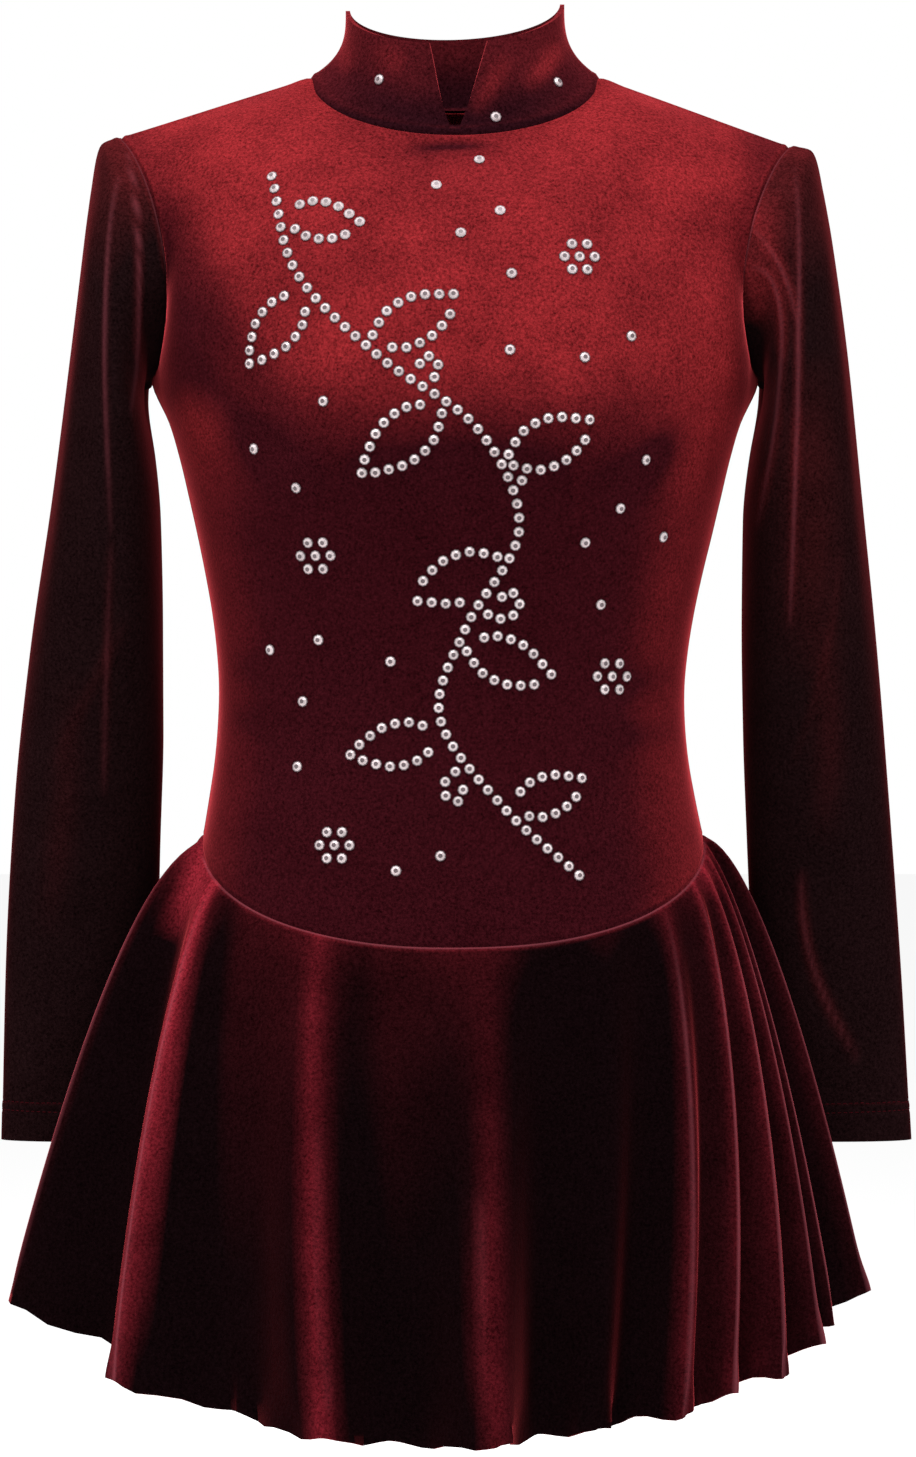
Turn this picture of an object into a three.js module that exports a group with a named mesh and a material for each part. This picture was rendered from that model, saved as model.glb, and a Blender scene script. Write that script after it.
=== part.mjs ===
// A figure skating dress in stretch velvet, filled out as it is worn: a long bodice with a dropped, curved
// waist seam, set-in long sleeves, a stand collar with a V notch, a flared skirt in two halves, and the
// brief under it. Units are millimetres. +Z is up, the front faces -Y, and the origin is between the
// shoulders, at their height.
import * as THREE from "three";

// Cloth and seams
const VELVET_THICKNESS = 1.5;
const COLLAR_THICKNESS = 2.4; // the collar is doubled cloth
const BRIEF_THICKNESS = 1.2;
const SEAM_TRIM = 0.3; // each piece stops this far short of a seam line
const SLEEVE_TRIM = 0.5; // the armhole seam folds back on itself under the arm, so it needs more
const MATCH_CELL = 0.05; // points in one cell of this size count as one seam point
const MATCH_SHIFT = 0.317; // keeps round coordinates away from the cells' borders
const EVEN_DIAGONALS = 0.001; // diagonals of a patch closer than this in length count as equal

// Height of the underarm, where the armholes end and the side seams start
const UNDERARM = -165;

// The body of the dress below the underarm: half width at the side seams, depth at the centre front and
// back, and how far its centre stands off to the wearer's right
const TORSO = [
  { height: -165, side: 166, front: 110, back: 97, off: 0 },
  { height: -185, side: 156.5, front: 112, back: 94, off: 0 },
  { height: -205, side: 150.5, front: 111, back: 90, off: 0 },
  { height: -235, side: 143.5, front: 104, back: 82, off: 0 },
  { height: -270, side: 135.5, front: 95, back: 73, off: 0.6 },
  { height: -300, side: 130, front: 89, back: 67, off: 1.2 },
  { height: -330, side: 127, front: 86, back: 64, off: 1.8 },
  { height: -355, side: 127.5, front: 86, back: 66, off: 2 },
  { height: -380, side: 130.5, front: 89, back: 73, off: 1.8 },
  { height: -410, side: 136, front: 93, back: 82, off: 1.2 },
  { height: -440, side: 140, front: 96, back: 90, off: 0.5 },
  { height: -475, side: 143, front: 98, back: 96, off: 0 },
];
const TORSO_SQUARENESS = 0.9; // 1 is an ellipse, less is fuller at the corners

// The bust is one soft swell with two gentle centres. It fades out near the side seams.
const BUST = { rise: 9, apart: 60, spread: 40, height: -192, tall: 48, sideFade: 40 };

// Neck seam and top edge of the collar: half width, depths from the centre, and how far they dip from the
// sides to the centre front and back
const NECK = { side: 79, centre: 3, front: 57, back: 52, height: 4, frontDip: 38, backDip: 12 };
const COLLAR_TOP = { side: 59, centre: 3, front: 51, back: 54, height: 43, frontDip: 27, backDip: 10 };
const NECK_LEAN = { level: 0.8, up: 0.6 };
const COLLAR_TILT = 0.03; // the wearer's left corner stands a little higher
const COLLAR_FLARE = 3.2; // how quickly the collar stands up from the seam
const COLLAR_ROWS = 5;
const COLLAR_STEP = 15; // degrees

// The V notch: degrees round the collar, at the seam and at the top edge, and the share of the height that
// is left
const NOTCH = [
  { seam: -15, top: -13.4, height: 1 },
  { seam: -2, top: -2.6, height: 0.1 },
  { seam: 2, top: 2.6, height: 0.1 },
  { seam: 15, top: 17.2, height: 1 },
];

const SHOULDER_TIP = { x: 184, y: 0, left: -34, right: -29 };

// How each column of bodice cloth leaves the neck or shoulder and comes down to the underarm line. A
// column's share is 0 at the centre and 1 at the armhole, and the leave and meet columns are the curve's
// end tangents.
const CHEST_DRAPE = [
  { share: 0, leaveX: 0, leaveY: -92, leaveZ: -110, meetX: 0, meetY: -4, meetZ: -140 },
  { share: 0.43, leaveX: 70, leaveY: -185, leaveZ: -75, meetX: -15, meetY: 14, meetZ: -190 },
  { share: 0.7, leaveX: 10, leaveY: -195, leaveZ: -66, meetX: 8, meetY: 60, meetZ: -160 },
  { share: 0.85, leaveX: -45, leaveY: -190, leaveZ: -66, meetX: 35, meetY: 110, meetZ: -125 },
  { share: 1, leaveX: -70, leaveY: -180, leaveZ: -72, meetX: 70, meetY: 180, meetZ: -95 },
];
const BACK_DRAPE = [
  { share: 0, leaveX: 0, leaveY: 90, leaveZ: -110, meetX: 0, meetY: -12, meetZ: -170 },
  { share: 0.43, leaveX: 65, leaveY: 180, leaveZ: -80, meetX: -15, meetY: -18, meetZ: -190 },
  { share: 0.7, leaveX: 8, leaveY: 185, leaveZ: -68, meetX: 8, meetY: -52, meetZ: -160 },
  { share: 0.85, leaveX: -40, leaveY: 180, leaveZ: -68, meetX: 32, meetY: -105, meetZ: -125 },
  { share: 1, leaveX: -62, leaveY: 172, leaveZ: -72, meetX: 62, meetY: -172, meetZ: -95 },
];

// Waist seam: its height at the side seams, and how far it dips at the centre front and back
const WAIST_SEAM = { side: -412, frontDip: 58, backDip: 25 };

// Grid of a bodice panel
const BODICE_COLUMNS = 28;
const NECK_SHARE = 12 / BODICE_COLUMNS;
const ARMHOLE_ROWS = 12;
const SIDE_ROWS = 12;
const RELAX_PASSES = 3;

// Sleeve: how low its outer and inner line are, half depth from front to back, and how far back its middle
// hangs. At is how far down the sleeve the ring lies.
const SLEEVE = [
  { at: 0, outZ: -33, inZ: -165, depth: 45, centre: 0 },
  { at: 0.03, outZ: -36, inZ: -169, depth: 51, centre: 0 },
  { at: 0.08, outZ: -59, inZ: -180, depth: 56, centre: 1 },
  { at: 0.16, outZ: -100, inZ: -205, depth: 58, centre: 2 },
  { at: 0.25, outZ: -150, inZ: -240, depth: 55, centre: 5 },
  { at: 0.38, outZ: -225, inZ: -295, depth: 49, centre: 9 },
  { at: 0.53, outZ: -311, inZ: -355, depth: 40, centre: 14 },
  { at: 0.67, outZ: -392, inZ: -418, depth: 31, centre: 19 },
  { at: 0.83, outZ: -483, inZ: -494, depth: 22, centre: 24 },
  { at: 1, outZ: -582, inZ: -582, depth: 16.5, centre: 27 },
];
// Outer and inner line as seen from the front. The two sleeves hang a little differently.
const SLEEVE_LINES = [
  { at: 0, leftOut: 184, leftIn: 166, rightOut: 184, rightIn: 166 },
  { at: 0.03, leftOut: 195.5, leftIn: 173, rightOut: 194, rightIn: 173 },
  { at: 0.08, leftOut: 202, leftIn: 169.5, rightOut: 199.5, rightIn: 171.5 },
  { at: 0.16, leftOut: 208.5, leftIn: 163, rightOut: 204.5, rightIn: 166 },
  { at: 0.25, leftOut: 215.5, leftIn: 159.5, rightOut: 211, rightIn: 163 },
  { at: 0.38, leftOut: 223.5, leftIn: 159, rightOut: 221, rightIn: 162 },
  { at: 0.53, leftOut: 232.5, leftIn: 160, rightOut: 234, rightIn: 162 },
  { at: 0.67, leftOut: 239.5, leftIn: 162.5, rightOut: 243, rightIn: 164 },
  { at: 0.83, leftOut: 246.5, leftIn: 166, rightOut: 248.5, rightIn: 166 },
  { at: 1, leftOut: 252.5, leftIn: 169, rightOut: 251, rightIn: 169 },
];
const SLEEVE_RINGS = 21;
const SLEEVE_RING_CROWDING = 1.25; // more rings near the shoulder
const CAP_LENGTH = 0.16; // the share of the sleeve over which the armhole's own shape fades out
// Soft lengthwise folds where the empty sleeve hangs from the shoulder: degrees round from the outer line
const SLEEVE_FOLDS = [
  { round: 45, rise: 2.5, from: 0.02, to: 0.6 },
  { round: 90, rise: 2.2, from: 0.03, to: 0.45 },
  { round: 285, rise: 2.4, from: 0.03, to: 0.5 },
];
const SLEEVE_FOLD_WIDTH = 14; // degrees

// Skirt: its cut length, shorter at the sides and shortest at the left, its hem as a plain oval before the
// folds, and how it springs from the seam: it stands out with this power of the distance, quickest at the
// sides
const SKIRT_LENGTH = { centre: 264, sideLess: 7, leftLess: 3 };
const SKIRT_HEM = { side: 205, front: 170, back: 162 };
const SKIRT_SPRING = { centre: 0.88, side: 0.7 };
const FOLD_GROWTH = 0.75; // folds widen with this power of the distance from where they start
const CREST_DIP = { share: 0.2, most: 20 }; // the hem hangs lower at a crest by this share of its out
const SKIRT_ROWS = 9;
const COLUMNS_PER_FLANK = 3;
// Crests and hollows of the folds, where they meet the hem and where they leave the waist: they hang
// straighter than the cut spreads, so those at the side are closer together above. Degrees run from the
// centre front towards +X, and out is how far the cloth stands outside the plain oval at the hem. From is how
// far down the skirt it starts, and growth how it widens, where they differ from 0 and from the growth above.
// A sleeve hangs in each of the two deep side hollows.
const FRONT_FOLDS = [
  { hem: -90, waist: -90, out: -6 },
  { hem: -81, waist: -84, out: 40, growth: 0.45 },
  { hem: -66, waist: -75, out: -10 },
  { hem: -53, waist: -65, out: 20 },
  { hem: -36, waist: -47, out: -12 },
  { hem: -18, waist: -28, out: 15 },
  { hem: -8, waist: -12, out: -9 },
  { hem: 5.5, waist: 5, out: 20 },
  { hem: 13.5, waist: 20, out: -17 },
  { hem: 21, waist: 32, out: 8 },
  { hem: 27, waist: 42, out: -14 },
  { hem: 33, waist: 50, out: 14 },
  { hem: 38.5, waist: 58, out: -4 },
  { hem: 43, waist: 65, out: 8 },
  { hem: 47.5, waist: 69, out: -8 },
  { hem: 52.5, waist: 73, out: 14 },
  { hem: 58.5, waist: 76.5, out: -9 },
  { hem: 64, waist: 79.5, out: 12 },
  { hem: 69, waist: 82, out: -8 },
  { hem: 73, waist: 84, out: 9 },
  { hem: 77.5, waist: 85.7, out: -6 },
  { hem: 82.5, waist: 87.3, out: 21, growth: 0.35 },
  { hem: 90, waist: 90, out: -16 },
];
const BACK_FOLDS = [
  { hem: 90, waist: 90, out: -16 },
  { hem: 98, waist: 98, out: -62, from: 0.14 },
  { hem: 113, waist: 109, out: 22 },
  { hem: 126, waist: 119, out: -12 },
  { hem: 138, waist: 130, out: 18 },
  { hem: 150, waist: 143, out: -13 },
  { hem: 162, waist: 156, out: 17 },
  { hem: 175, waist: 173, out: -12 },
  { hem: 187, waist: 189, out: 16 },
  { hem: 201, waist: 206, out: -13 },
  { hem: 214, waist: 221, out: 19 },
  { hem: 230, waist: 236, out: -12 },
  { hem: 246, waist: 249, out: 24 },
  { hem: 262, waist: 262, out: -62, from: 0.14 },
  { hem: 270, waist: 270, out: -6 },
];

// Brief: each row runs from the centre line out to its end at the side seam or leg opening, wrapped round
// the body
const BRIEF_INSET = 2; // it hangs just inside the skirt's and bodice's walls
const BRIEF_RISE = 3; // and starts a seam allowance above the waist seam
const BRIEF_COLUMNS = 14;
const BRIEF_ROWS = 9;
const BRIEF_FLUSH = 0.3; // the share of its length over which it leaves the body's own section
const BRIEF_FLUSH_DROP = 40; // and how far down the body that share reaches
const BRIEF_FRONT = [
  { at: 0, endX: 134, endY: 0, endZ: -409, midY: -97, midZ: -467, wrap: 90 },
  { at: 0.15, endX: 131, endY: 0, endZ: -442, midY: -96, midZ: -490, wrap: 90 },
  { at: 0.3, endX: 123, endY: -34, endZ: -466, midY: -95, midZ: -511, wrap: 76 },
  { at: 0.5, endX: 100, endY: -60, endZ: -503, midY: -89, midZ: -538, wrap: 60 },
  { at: 0.7, endX: 66, endY: -56, endZ: -543, midY: -72, midZ: -566, wrap: 46 },
  { at: 0.85, endX: 44, endY: -35, endZ: -574, midY: -44, midZ: -586, wrap: 36 },
  { at: 1, endX: 34, endY: 0, endZ: -592, midY: 0, midZ: -597, wrap: 28 },
];
const BRIEF_BACK = [
  { at: 0, endX: 134, endY: 0, endZ: -409, midY: 86, midZ: -434, wrap: 90 },
  { at: 0.15, endX: 131, endY: 0, endZ: -442, midY: 93, midZ: -468, wrap: 90 },
  { at: 0.3, endX: 123, endY: 34, endZ: -472, midY: 99, midZ: -498, wrap: 78 },
  { at: 0.5, endX: 107, endY: 62, endZ: -512, midY: 99, midZ: -532, wrap: 66 },
  { at: 0.7, endX: 78, endY: 66, endZ: -550, midY: 83, midZ: -565, wrap: 52 },
  { at: 0.85, endX: 48, endY: 42, endZ: -577, midY: 52, midZ: -587, wrap: 38 },
  { at: 1, endX: 34, endY: 0, endZ: -592, midY: 0, midZ: -597, wrap: 28 },
];

const FRONT = -1;
const BACK = 1;
const FIRST_ANGLE = { [FRONT]: -90, [BACK]: 90 };

const radians = THREE.MathUtils.degToRad;
const mix = THREE.MathUtils.lerp;
const point = (x, y, z) => new THREE.Vector3(x, y, z);

// One column of a table, read smoothly and without overshoot at a value of another column, which rises or
// falls
function read(table, column, by, value) {
  const rising = table[table.length - 1][by] > table[0][by];
  const order = rising ? table : [...table].reverse();
  const last = order.length - 1;
  const i = Math.min(Math.max(order.findIndex((row) => row[by] >= value) - 1, 0), last - 1);
  const at = value > order[last][by] ? last - 1 : i;
  const step = (k) => (order[k + 1][column] - order[k][column]) / (order[k + 1][by] - order[k][by]);
  const slope = (k) => {
    if (k === 0 || k === last) return step(Math.min(k, last - 1));
    const before = step(k - 1);
    const after = step(k);
    return before * after > 0 ? (2 * before * after) / (before + after) : 0;
  };
  const low = order[at];
  const high = order[at + 1];
  const span = high[by] - low[by];
  const t = (value - low[by]) / span;
  return hermite(low[column], slope(at) * span, high[column], slope(at + 1) * span, t);
}

function hermite(start, leave, end, meet, t) {
  const t2 = t * t;
  const t3 = t2 * t;
  const toEnd = 3 * t2 - 2 * t3;
  return mix(start, end, toEnd) + (t3 - 2 * t2 + t) * leave + (t3 - t2) * meet;
}

const rounded = (value) => Math.sign(value) * Math.abs(value) ** TORSO_SQUARENESS;

function bust({ x, y, z }) {
  const across = (Math.abs(x) - BUST.apart) / BUST.spread;
  const along = (z - BUST.height) / BUST.tall;
  const fade = Math.min(1, Math.abs(y) / BUST.sideFade);
  return BUST.rise * fade * Math.exp(-across * across - along * along);
}

// A point of the body of the dress below the underarm. The angle is 0 at the centre front and 90 at the +X
// side.
function torso(angle, height) {
  const turn = radians(angle);
  const depth = Math.cos(turn) > 0 ? "front" : "back";
  const x = read(TORSO, "side", "height", height) * rounded(Math.sin(turn));
  const y = -read(TORSO, depth, "height", height) * rounded(Math.cos(turn));
  return point(x - read(TORSO, "off", "height", height), y, height);
}

function seamHeight(angle) {
  const facing = Math.cos(radians(angle));
  return WAIST_SEAM.side - (facing > 0 ? WAIST_SEAM.frontDip : WAIST_SEAM.backDip) * Math.abs(facing);
}

const waistSeam = (angle) => torso(angle, seamHeight(angle));

function neckSeam(angle) {
  const facing = Math.cos(radians(angle));
  const y = NECK.centre - (facing > 0 ? NECK.front : NECK.back) * facing;
  const z = NECK.height - (facing > 0 ? NECK.frontDip : NECK.backDip) * Math.abs(facing);
  return point(NECK.side * Math.sin(radians(angle)), y, z);
}

function collarEdge(angle) {
  const facing = Math.cos(radians(angle));
  const x = COLLAR_TOP.side * Math.sin(radians(angle));
  const y = COLLAR_TOP.centre - (facing > 0 ? COLLAR_TOP.front : COLLAR_TOP.back) * facing;
  const dip = (facing > 0 ? COLLAR_TOP.frontDip : COLLAR_TOP.backDip) * Math.abs(facing);
  return point(x, y, COLLAR_TOP.height - dip + COLLAR_TILT * x);
}

// Top edge of a bodice panel: half the neck seam, then the shoulder seam out to its tip
function bodiceTop(face, share) {
  const part = Math.abs(share);
  if (part <= NECK_SHARE) {
    const angle = (90 * share) / NECK_SHARE;
    return neckSeam(face === FRONT ? angle : 180 - angle);
  }
  const along = (part - NECK_SHARE) / (1 - NECK_SHARE);
  const inner = neckSeam(90);
  const side = share > 0 ? "left" : "right";
  const x = mix(inner.x, SHOULDER_TIP.x, along) * Math.sign(share);
  return point(x, mix(inner.y, SHOULDER_TIP.y, along), mix(inner.z, SHOULDER_TIP[side], along));
}

// Bodice panel as rows of points, from the neck and shoulders down to the waist seam
function bodicePanel(face) {
  const drape = face === FRONT ? CHEST_DRAPE : BACK_DRAPE;
  const rows = [];
  for (let j = 0; j <= ARMHOLE_ROWS + SIDE_ROWS; j++) {
    const row = [];
    for (let i = 0; i <= BODICE_COLUMNS; i++) {
      const angle = FIRST_ANGLE[face] + (180 * i) / BODICE_COLUMNS;
      const share = face === FRONT ? angle / 90 : (180 - angle) / 90;
      const below = j - ARMHOLE_ROWS;
      row.push(below <= 0 ? upper(angle, share, j / ARMHOLE_ROWS) : lower(angle, below / SIDE_ROWS));
    }
    rows.push(row);
  }
  relax(rows, RELAX_PASSES);
  if (face === FRONT) rows.flat().forEach((p) => (p.y -= bust(p)));
  return rows;

  function upper(angle, share, t) {
    const start = bodiceTop(face, share);
    const end = torso(angle, UNDERARM);
    const part = Math.abs(share);
    const side = Math.sign(share);
    const tangent = (column) => read(drape, column, "share", part);
    return point(
      hermite(start.x, tangent("leaveX") * side, end.x, tangent("meetX") * side, t),
      hermite(start.y, tangent("leaveY"), end.y, tangent("meetY"), t),
      hermite(start.z, tangent("leaveZ"), end.z, tangent("meetZ"), t),
    );
  }

  function lower(angle, t) {
    return torso(angle, mix(UNDERARM, seamHeight(angle), t));
  }
}

// Evens out the inside of a sheet, with its edges left where they are
function relax(rows, passes) {
  for (let pass = 0; pass < passes; pass++) {
    const before = rows.map((row) => row.map((p) => p.clone()));
    for (let j = 1; j < rows.length - 1; j++) {
      for (let i = 1; i < rows[j].length - 1; i++) {
        const around = [before[j - 1][i], before[j + 1][i], before[j][i - 1], before[j][i + 1]];
        const middle = around.reduce((sum, p) => sum.add(p), point(0, 0, 0)).multiplyScalar(0.25);
        rows[j][i].lerp(middle, 0.5);
      }
    }
  }
}

// Sleeve as closed rings, from the armhole down to the cuff. The wearer's left sleeve is on the +X side.
function sleeveRings(front, back, side) {
  const [frontEdge, backEdge] = side === "left" ? [BODICE_COLUMNS, 0] : [0, BODICE_COLUMNS];
  const armhole = [];
  for (let j = 0; j <= ARMHOLE_ROWS; j++) armhole.push(front[j][frontEdge].clone());
  for (let j = ARMHOLE_ROWS - 1; j > 0; j--) armhole.push(back[j][backEdge].clone());
  const rings = [armhole];
  for (let k = 1; k < SLEEVE_RINGS; k++) {
    const at = (k / (SLEEVE_RINGS - 1)) ** SLEEVE_RING_CROWDING;
    const fade = Math.max(0, 1 - at / CAP_LENGTH) ** 2;
    rings.push(
      armhole.map((p, i) => {
        const round = (360 * i) / armhole.length;
        const shape = sleeveSection(at, round, side);
        return shape.add(p.clone().sub(sleeveSection(0, round, side)).multiplyScalar(fade));
      }),
    );
  }
  return rings;
}

function sleeveSection(at, round, side) {
  const outward = Math.cos(radians(round));
  const forward = Math.sin(radians(round));
  const share = (1 + outward) / 2;
  const fold = sleeveFold(at, round);
  const line = (edge) => read(SLEEVE_LINES, side + edge, "at", at);
  const value = (column) => read(SLEEVE, column, "at", at);
  const x = mix(line("In"), line("Out"), share) + fold * outward;
  const y = value("centre") - (value("depth") + fold) * forward;
  return point(side === "left" ? x : -x, y, mix(value("inZ"), value("outZ"), share));
}

function sleeveFold(at, round) {
  let rise = 0;
  for (const fold of SLEEVE_FOLDS) {
    if (at <= fold.from || at >= fold.to) continue;
    const along = Math.sin((Math.PI * (at - fold.from)) / (fold.to - fold.from));
    const away = (round - fold.round) / SLEEVE_FOLD_WIDTH;
    rise += fold.rise * along * Math.exp(-away * away);
  }
  return rise;
}

// Collar as a closed band: its first row is the neck seam and its last row the top edge, cut by the notch
function collarRows() {
  const columns = [];
  for (let angle = 30; angle <= 330; angle += COLLAR_STEP) {
    columns.push({ seam: angle, top: angle, height: 1 });
  }
  const [left, ...rest] = NOTCH;
  const round = [...rest, ...columns, { ...left, seam: left.seam + 360, top: left.top + 360 }];
  const rows = [];
  for (let k = COLLAR_ROWS; k >= 0; k--) {
    rows.push(
      round.map((column) => {
        const lift = (column.height * k) / COLLAR_ROWS;
        const bottom = neckSeam(column.seam);
        const top = collarEdge(column.top);
        const inward = 1 - (1 - lift) ** COLLAR_FLARE;
        const x = mix(bottom.x, top.x, column.height < 1 ? lift : inward);
        return point(x, mix(bottom.y, top.y, inward), mix(bottom.z, top.z, lift));
      }),
    );
  }
  return rows;
}

// How far the cloth stands outside the plain oval between one fold and the next, at a share of the length
function foldOut({ before, after, across }, t) {
  const grown = ({ out, from = 0, growth = FOLD_GROWTH }) => {
    return out * (Math.max(t - from, 0) / (1 - from)) ** growth;
  };
  return mix(grown(before), grown(after), (1 - Math.cos(Math.PI * across)) / 2);
}

function skirtPoint(column, t) {
  const { before, after, across: toNext } = column;
  const angle = mix(mix(before.waist, after.waist, toNext), mix(before.hem, after.hem, toNext), t);
  const start = waistSeam(angle);
  const across = Math.sin(radians(angle));
  const facing = Math.cos(radians(angle));
  const outward = point(across, -facing, 0);
  const depth = facing > 0 ? SKIRT_HEM.front : SKIRT_HEM.back;
  const oval = point(SKIRT_HEM.side * across, -depth * facing, 0);
  const hemOut = foldOut(column, 1);
  const hem = oval.clone().addScaledVector(outward, hemOut);
  const reach = Math.hypot(hem.x - start.x, hem.y - start.y);
  const { centre, sideLess, leftLess } = SKIRT_LENGTH;
  const dip = CREST_DIP.share * Math.max(-CREST_DIP.most, Math.min(CREST_DIP.most, hemOut));
  const length = centre - sideLess * Math.abs(across) - leftLess * across + dip;
  const drop = Math.sqrt(length ** 2 - reach ** 2);
  const spread = t ** mix(SKIRT_SPRING.centre, SKIRT_SPRING.side, across ** 2);
  const plain = point(mix(start.x, oval.x, spread), mix(start.y, oval.y, spread), start.z - drop * t);
  return plain.addScaledVector(outward, foldOut(column, t));
}

function skirtPanel(folds) {
  const columns = [{ before: folds[0], after: folds[1], across: 0 }];
  for (let k = 1; k < folds.length; k++) {
    for (let step = 1; step <= COLUMNS_PER_FLANK; step++) {
      columns.push({ before: folds[k - 1], after: folds[k], across: step / COLUMNS_PER_FLANK });
    }
  }
  const rows = [];
  for (let j = 0; j <= SKIRT_ROWS; j++) {
    rows.push(columns.map((column) => skirtPoint(column, j / SKIRT_ROWS)));
  }
  return rows;
}

function briefPanel(face) {
  const table = face === FRONT ? BRIEF_FRONT : BRIEF_BACK;
  const rows = [];
  for (let j = 0; j <= BRIEF_ROWS; j++) {
    const at = j / BRIEF_ROWS;
    const value = (column) => read(table, column, "at", at);
    const wrap = radians(Math.min(value("wrap"), 90));
    const row = [];
    for (let i = 0; i <= BRIEF_COLUMNS; i++) {
      const share = (2 * i) / BRIEF_COLUMNS - 1;
      const turn = share * wrap;
      const bow = (Math.cos(turn) - Math.cos(wrap)) / (1 - Math.cos(wrap));
      const side = face === FRONT ? 1 : -1;
      const plain = point(
        (side * value("endX") * Math.sin(turn)) / Math.sin(wrap),
        mix(value("endY"), value("midY"), bow),
        mix(value("endZ"), value("midZ"), bow),
      );
      const angle = face === FRONT ? 90 * share : 180 + 90 * share;
      const flush = Math.min(at / BRIEF_FLUSH, 1);
      const height = seamHeight(angle) + BRIEF_RISE - flush * BRIEF_FLUSH_DROP;
      const body = torso(angle, Math.max(height, TORSO.at(-1).height));
      row.push(levelIn(body, BRIEF_INSET).lerp(plain, flush * flush * (3 - 2 * flush)));
    }
    rows.push(row);
  }
  return rows;
}

function levelIn(p, inset) {
  return p.clone().addScaledVector(point(p.x, p.y, 0).normalize(), -inset);
}

// A sheet is rows of points on the middle of the cloth. A closed sheet is a tube, and facing -1 turns it
// round.
function sheet(name, rows, thickness, options = {}) {
  return { name, rows, thickness, closed: false, facing: 1, trim: SEAM_TRIM, ...options, normals: null };
}

function gridNormals({ rows, closed, facing }) {
  const wide = rows[0].length;
  const pick = (j, i) => rows[j][closed ? (i + wide) % wide : Math.min(Math.max(i, 0), wide - 1)];
  return rows.map((row, j) =>
    row.map((_, i) => {
      const across = pick(j, i + 1).clone().sub(pick(j, i - 1));
      const down = pick(Math.min(j + 1, rows.length - 1), i).clone().sub(pick(Math.max(j - 1, 0), i));
      return down.cross(across).normalize().multiplyScalar(facing);
    }),
  );
}

// Where two sheets share a seam point, both take the same direction through the cloth, so their edges are
// mitred
function mitreSeams(sheets) {
  const cell = (v) => Math.round(v / MATCH_CELL + MATCH_SHIFT);
  const key = (p) => [p.x, p.y, p.z].map(cell).join();
  const shared = new Map();
  for (const s of sheets) {
    s.normals = gridNormals(s);
    s.rows.forEach((row, j) =>
      row.forEach((p, i) => {
        const k = key(p);
        if (!shared.has(k)) shared.set(k, point(0, 0, 0));
        shared.get(k).add(s.normals[j][i]);
      }),
    );
  }
  for (const s of sheets) {
    s.rows.forEach((row, j) => row.forEach((p, i) => s.normals[j][i].copy(shared.get(key(p))).normalize()));
    if (s.topNormal) s.rows[0].forEach((p, i) => s.normals[0][i].copy(s.topNormal(p)));
    const last = s.rows.length - 1;
    if (s.bottomNormal) s.rows[last].forEach((p, i) => s.normals[last][i].copy(s.bottomNormal(p)));
  }
}

// Pulls the edges of a sheet back from its seam lines, in the cloth and square to the seam
function trimEdges({ rows, closed, trim }) {
  const last = rows.length - 1;
  const wide = rows[0].length;
  const moves = [];
  const pull = (p, next, before, after) => {
    const along = after.clone().sub(before).normalize();
    const inward = next.clone().sub(p);
    moves.push([p, inward.addScaledVector(along, -inward.dot(along)).setLength(trim)]);
  };
  const beside = (i) => (closed ? (i + wide) % wide : Math.min(Math.max(i, 0), wide - 1));
  for (let i = 0; i < wide; i++) {
    pull(rows[0][i], rows[1][i], rows[0][beside(i - 1)], rows[0][beside(i + 1)]);
    pull(rows[last][i], rows[last - 1][i], rows[last][beside(i - 1)], rows[last][beside(i + 1)]);
  }
  for (let j = 0; j <= last && !closed; j++) {
    const above = rows[Math.max(j - 1, 0)];
    const below = rows[Math.min(j + 1, last)];
    pull(rows[j][0], rows[j][1], above[0], below[0]);
    pull(rows[j][wide - 1], rows[j][wide - 2], above[wide - 1], below[wide - 1]);
  }
  for (const [p, move] of moves) p.add(move);
}

// The closed wall of a sheet: an outer and an inner skin half a thickness either side, and the edges
// between them
function wall({ rows, normals, closed, facing, thickness }) {
  const wide = rows[0].length;
  const high = rows.length;
  const positions = [];
  for (const side of [0.5, -0.5]) {
    rows.forEach((row, j) =>
      row.forEach((p, i) => {
        const q = p.clone().addScaledVector(normals[j][i], side * thickness);
        positions.push(q.x, q.y, q.z);
      }),
    );
  }
  const outer = (j, i) => j * wide + (i % wide);
  const inner = (j, i) => high * wide + outer(j, i);
  const faces = [];
  const quad = (a, b, c, d) => faces.push(...(facing > 0 ? [a, b, c, a, c, d] : [a, c, b, a, d, c]));
  const spans = closed ? wide : wide - 1;
  for (let j = 0; j < high - 1; j++) {
    for (let i = 0; i < spans; i++) {
      const right = (i + 1) % wide;
      const skins = [
        [outer(j, i), outer(j + 1, i), outer(j + 1, right), outer(j, right)],
        [inner(j, i), inner(j, right), inner(j + 1, right), inner(j + 1, i)],
      ];
      const straight = rows[j][i].distanceTo(rows[j + 1][right]);
      const turned = straight > rows[j + 1][i].distanceTo(rows[j][right]) + EVEN_DIAGONALS;
      for (const [a, b, c, d] of skins) quad(...(turned ? [b, c, d, a] : [a, b, c, d]));
    }
  }
  for (let i = 0; i < spans; i++) {
    quad(outer(0, i), outer(0, i + 1), inner(0, i + 1), inner(0, i));
    quad(outer(high - 1, i), inner(high - 1, i), inner(high - 1, i + 1), outer(high - 1, i + 1));
  }
  if (!closed) {
    for (let j = 0; j < high - 1; j++) {
      quad(outer(j, 0), inner(j, 0), inner(j + 1, 0), outer(j + 1, 0));
      quad(outer(j, wide - 1), outer(j + 1, wide - 1), inner(j + 1, wide - 1), inner(j, wide - 1));
    }
  }
  const geometry = new THREE.BufferGeometry();
  geometry.setAttribute("position", new THREE.Float32BufferAttribute(positions, 3));
  geometry.setIndex(faces);
  geometry.computeVertexNormals();
  return geometry;
}

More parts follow.
